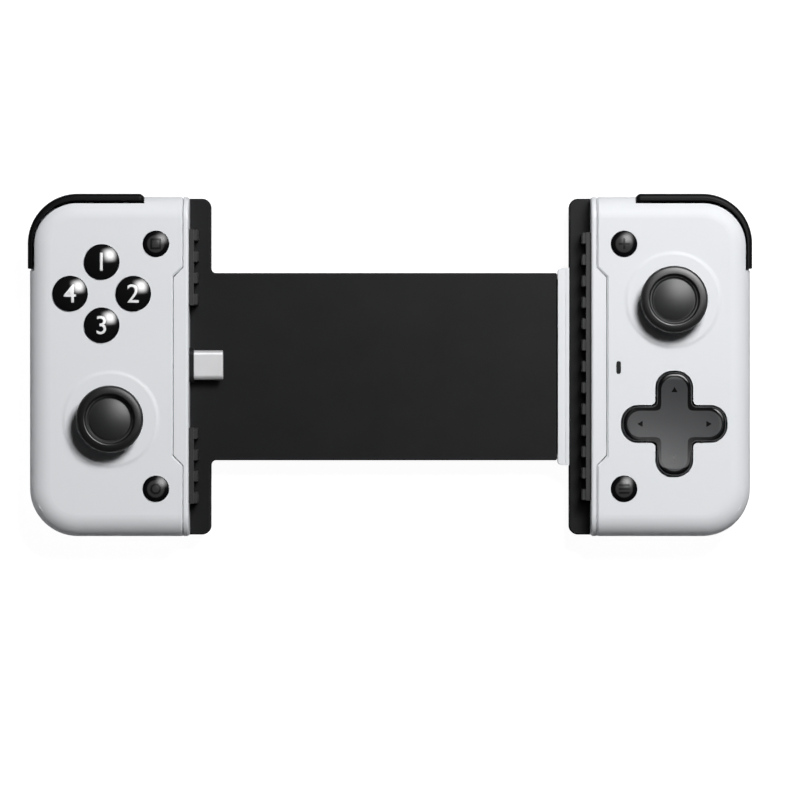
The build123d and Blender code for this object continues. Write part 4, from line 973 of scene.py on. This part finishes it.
def fade_sides(data, fades):
    """Dims a softbox toward low X, high X, low Y and high Y, over shares of its width."""
    data.use_nodes = True
    tree = data.node_tree
    spot = tree.nodes.new("ShaderNodeSeparateXYZ")
    tree.links.new(tree.nodes.new("ShaderNodeNewGeometry").outputs["Parametric"], spot.inputs["Vector"])
    level = 1.0
    for k, fade in enumerate(fades):
        ramp = add(tree, "ShaderNodeMapRange", interpolation_type="SMOOTHSTEP")
        ramp.inputs["From Min"].default_value = k % 2
        ramp.inputs["From Max"].default_value = 1 - fade if k % 2 else fade
        tree.links.new(spot.outputs[k // 2], ramp.inputs["Value"])
        level = math_node(tree, "MULTIPLY", ramp.outputs["Result"], level)
    tree.links.new(level, tree.nodes["Emission"].inputs["Strength"])


def area_light(name, place, aim, size, power, roll=0.0, diffuse=True, glossy=True):
    """A rectangular lamp that faces a point, for matt surfaces, for reflections or for both."""
    data = bpy.data.lights.new(name, "AREA")
    data.shape = "RECTANGLE"
    data.size, data.size_y = size
    data.energy = power
    lamp = bpy.data.objects.new(name, data)
    turn = (Vector(aim) - Vector(place)).to_track_quat("-Z", "Y").to_matrix().to_4x4()
    lamp.matrix_world = Matrix.Translation(place) @ turn @ Matrix.Rotation(roll, 4, "Z")
    lamp.visible_diffuse, lamp.visible_glossy = diffuse, glossy
    bpy.context.scene.collection.objects.link(lamp)
    return lamp


def floor_material():
    """Pale table: near white to the camera, dark to the controller, so that it throws little light back."""
    material, tree, shader = blank_material("pale_table")
    shader.inputs["Base Color"].default_value = TABLE_TONE
    shader.inputs["Roughness"].default_value = 0.9
    grain = effect(tree, "Moulded grain", Grain_size=0.0012)
    bump(tree, grain.outputs["Height"], 0.00005, 0.1, shader)
    seen = add(tree, "ShaderNodeBsdfDiffuse")
    seen.inputs["Color"].default_value = TABLE_SEEN
    glow = add(tree, "ShaderNodeEmission", Strength=TABLE_GLOW)
    both = add(tree, "ShaderNodeAddShader")
    pick = tree.nodes.new("ShaderNodeMixShader")
    tree.links.new(tree.nodes.new("ShaderNodeLightPath").outputs["Is Camera Ray"], pick.inputs["Fac"])
    tree.links.new(seen.outputs["BSDF"], both.inputs[0])
    tree.links.new(glow.outputs["Emission"], both.inputs[1])
    tree.links.new(shader.outputs["BSDF"], pick.inputs[1])
    tree.links.new(both.outputs["Shader"], pick.inputs[2])
    tree.links.new(pick.outputs["Shader"], tree.nodes["Material Output"].inputs["Surface"])
    return material


class CONTROLLER_OT_stage(bpy.types.Operator):
    """Sets the table, the softboxes and the camera"""

    bl_idname = "controller.stage"
    bl_label = "Stage"

    def execute(self, context):
        scene = context.scene
        studio = scene.controller_studio
        table = bmesh.new()
        bmesh.ops.create_grid(table, x_segments=1, y_segments=1, size=TABLE_HALF,
                              matrix=Matrix.Translation((0, 0, -TABLE_GAP)))
        mesh = bpy.data.meshes.new("table_top")
        table.to_mesh(mesh)
        table.free()
        mesh.materials.append(floor_material())
        floor = bpy.data.objects.new("table_top", mesh)
        scene.collection.objects.link(floor)

        area_light("key", studio.key_place, (0, 0, 0), (studio.key_size,) * 2, studio.key_power, glossy=False)
        softbox = area_light("softbox", studio.box_place, (0, 0, 0), (studio.box_size,) * 2,
                             studio.box_power, roll=math.pi / 4, diffuse=False)
        fade_sides(softbox.data, SOFTBOX_FADES)
        for name, place, aim, power in EDGE_LAMPS:
            area_light(name, place, aim, EDGE_LAMP_SIZE, power, glossy=False)

        world = bpy.data.worlds.new("room")
        world.use_nodes = True
        background = world.node_tree.nodes["Background"]
        background.inputs["Color"].default_value = (0.93, 0.96, 1.0, 1)
        background.inputs["Strength"].default_value = studio.world_level
        scene.world = world
        scene.view_settings.view_transform = "Standard"

        data = bpy.data.cameras.new("view_camera")
        data.sensor_width = SENSOR_WIDTH
        distance = studio.camera_height - BUTTON_HEIGHT
        data.lens = SENSOR_WIDTH * distance / studio.frame_width
        data.clip_start, data.clip_end = 0.05, 10.0
        camera = bpy.data.objects.new("view_camera", data)
        camera.location = (VIEW_X, VIEW_Y, studio.camera_height)
        scene.collection.objects.link(camera)
        scene.camera = camera
        return {"FINISHED"}


class CONTROLLER_PT_panel(bpy.types.Panel):
    """Lists the controller's steps and settings"""

    bl_label = "Phone controller"
    bl_idname = "CONTROLLER_PT_panel"
    bl_space_type = "VIEW_3D"
    bl_region_type = "UI"
    bl_category = "Controller"

    def draw(self, context):
        for operator in OPERATORS:
            self.layout.operator(operator.bl_idname)
        for group in GROUP_TYPES:
            holder = getattr(context.scene, group)
            box = self.layout.box()
            for name in holder.__annotations__:
                box.prop(holder, name)


OPERATORS = (
    CONTROLLER_OT_shells, CONTROLLER_OT_bridge, CONTROLLER_OT_springs, CONTROLLER_OT_ribbon,
    CONTROLLER_OT_face_buttons, CONTROLLER_OT_small_buttons, CONTROLLER_OT_thumb_sticks,
    CONTROLLER_OT_direction_pad, CONTROLLER_OT_shoulders, CONTROLLER_OT_plug,
    CONTROLLER_OT_phone_pads, CONTROLLER_OT_inside, CONTROLLER_OT_stage,
)
GROUP_TYPES = {"controller_finish": ControllerFinish, "controller_sizes": ControllerSizes,
               "controller_studio": ControllerStudio}


def register():
    """Registers the property groups, the operators and the panel."""
    for kind in (*GROUP_TYPES.values(), *OPERATORS, CONTROLLER_PT_panel):
        bpy.utils.register_class(kind)
    for name, kind in GROUP_TYPES.items():
        setattr(bpy.types.Scene, name, bpy.props.PointerProperty(type=kind))


def unregister():
    """Takes them away again."""
    for name in GROUP_TYPES:
        delattr(bpy.types.Scene, name)
    for kind in (CONTROLLER_PT_panel, *reversed(OPERATORS), *GROUP_TYPES.values()):
        bpy.utils.unregister_class(kind)


def main():
    """Runs every step in order."""
    register()
    for operator in OPERATORS:
        getattr(bpy.ops.controller, operator.bl_idname.split(".")[1])()


if __name__ == "__main__":
    main()
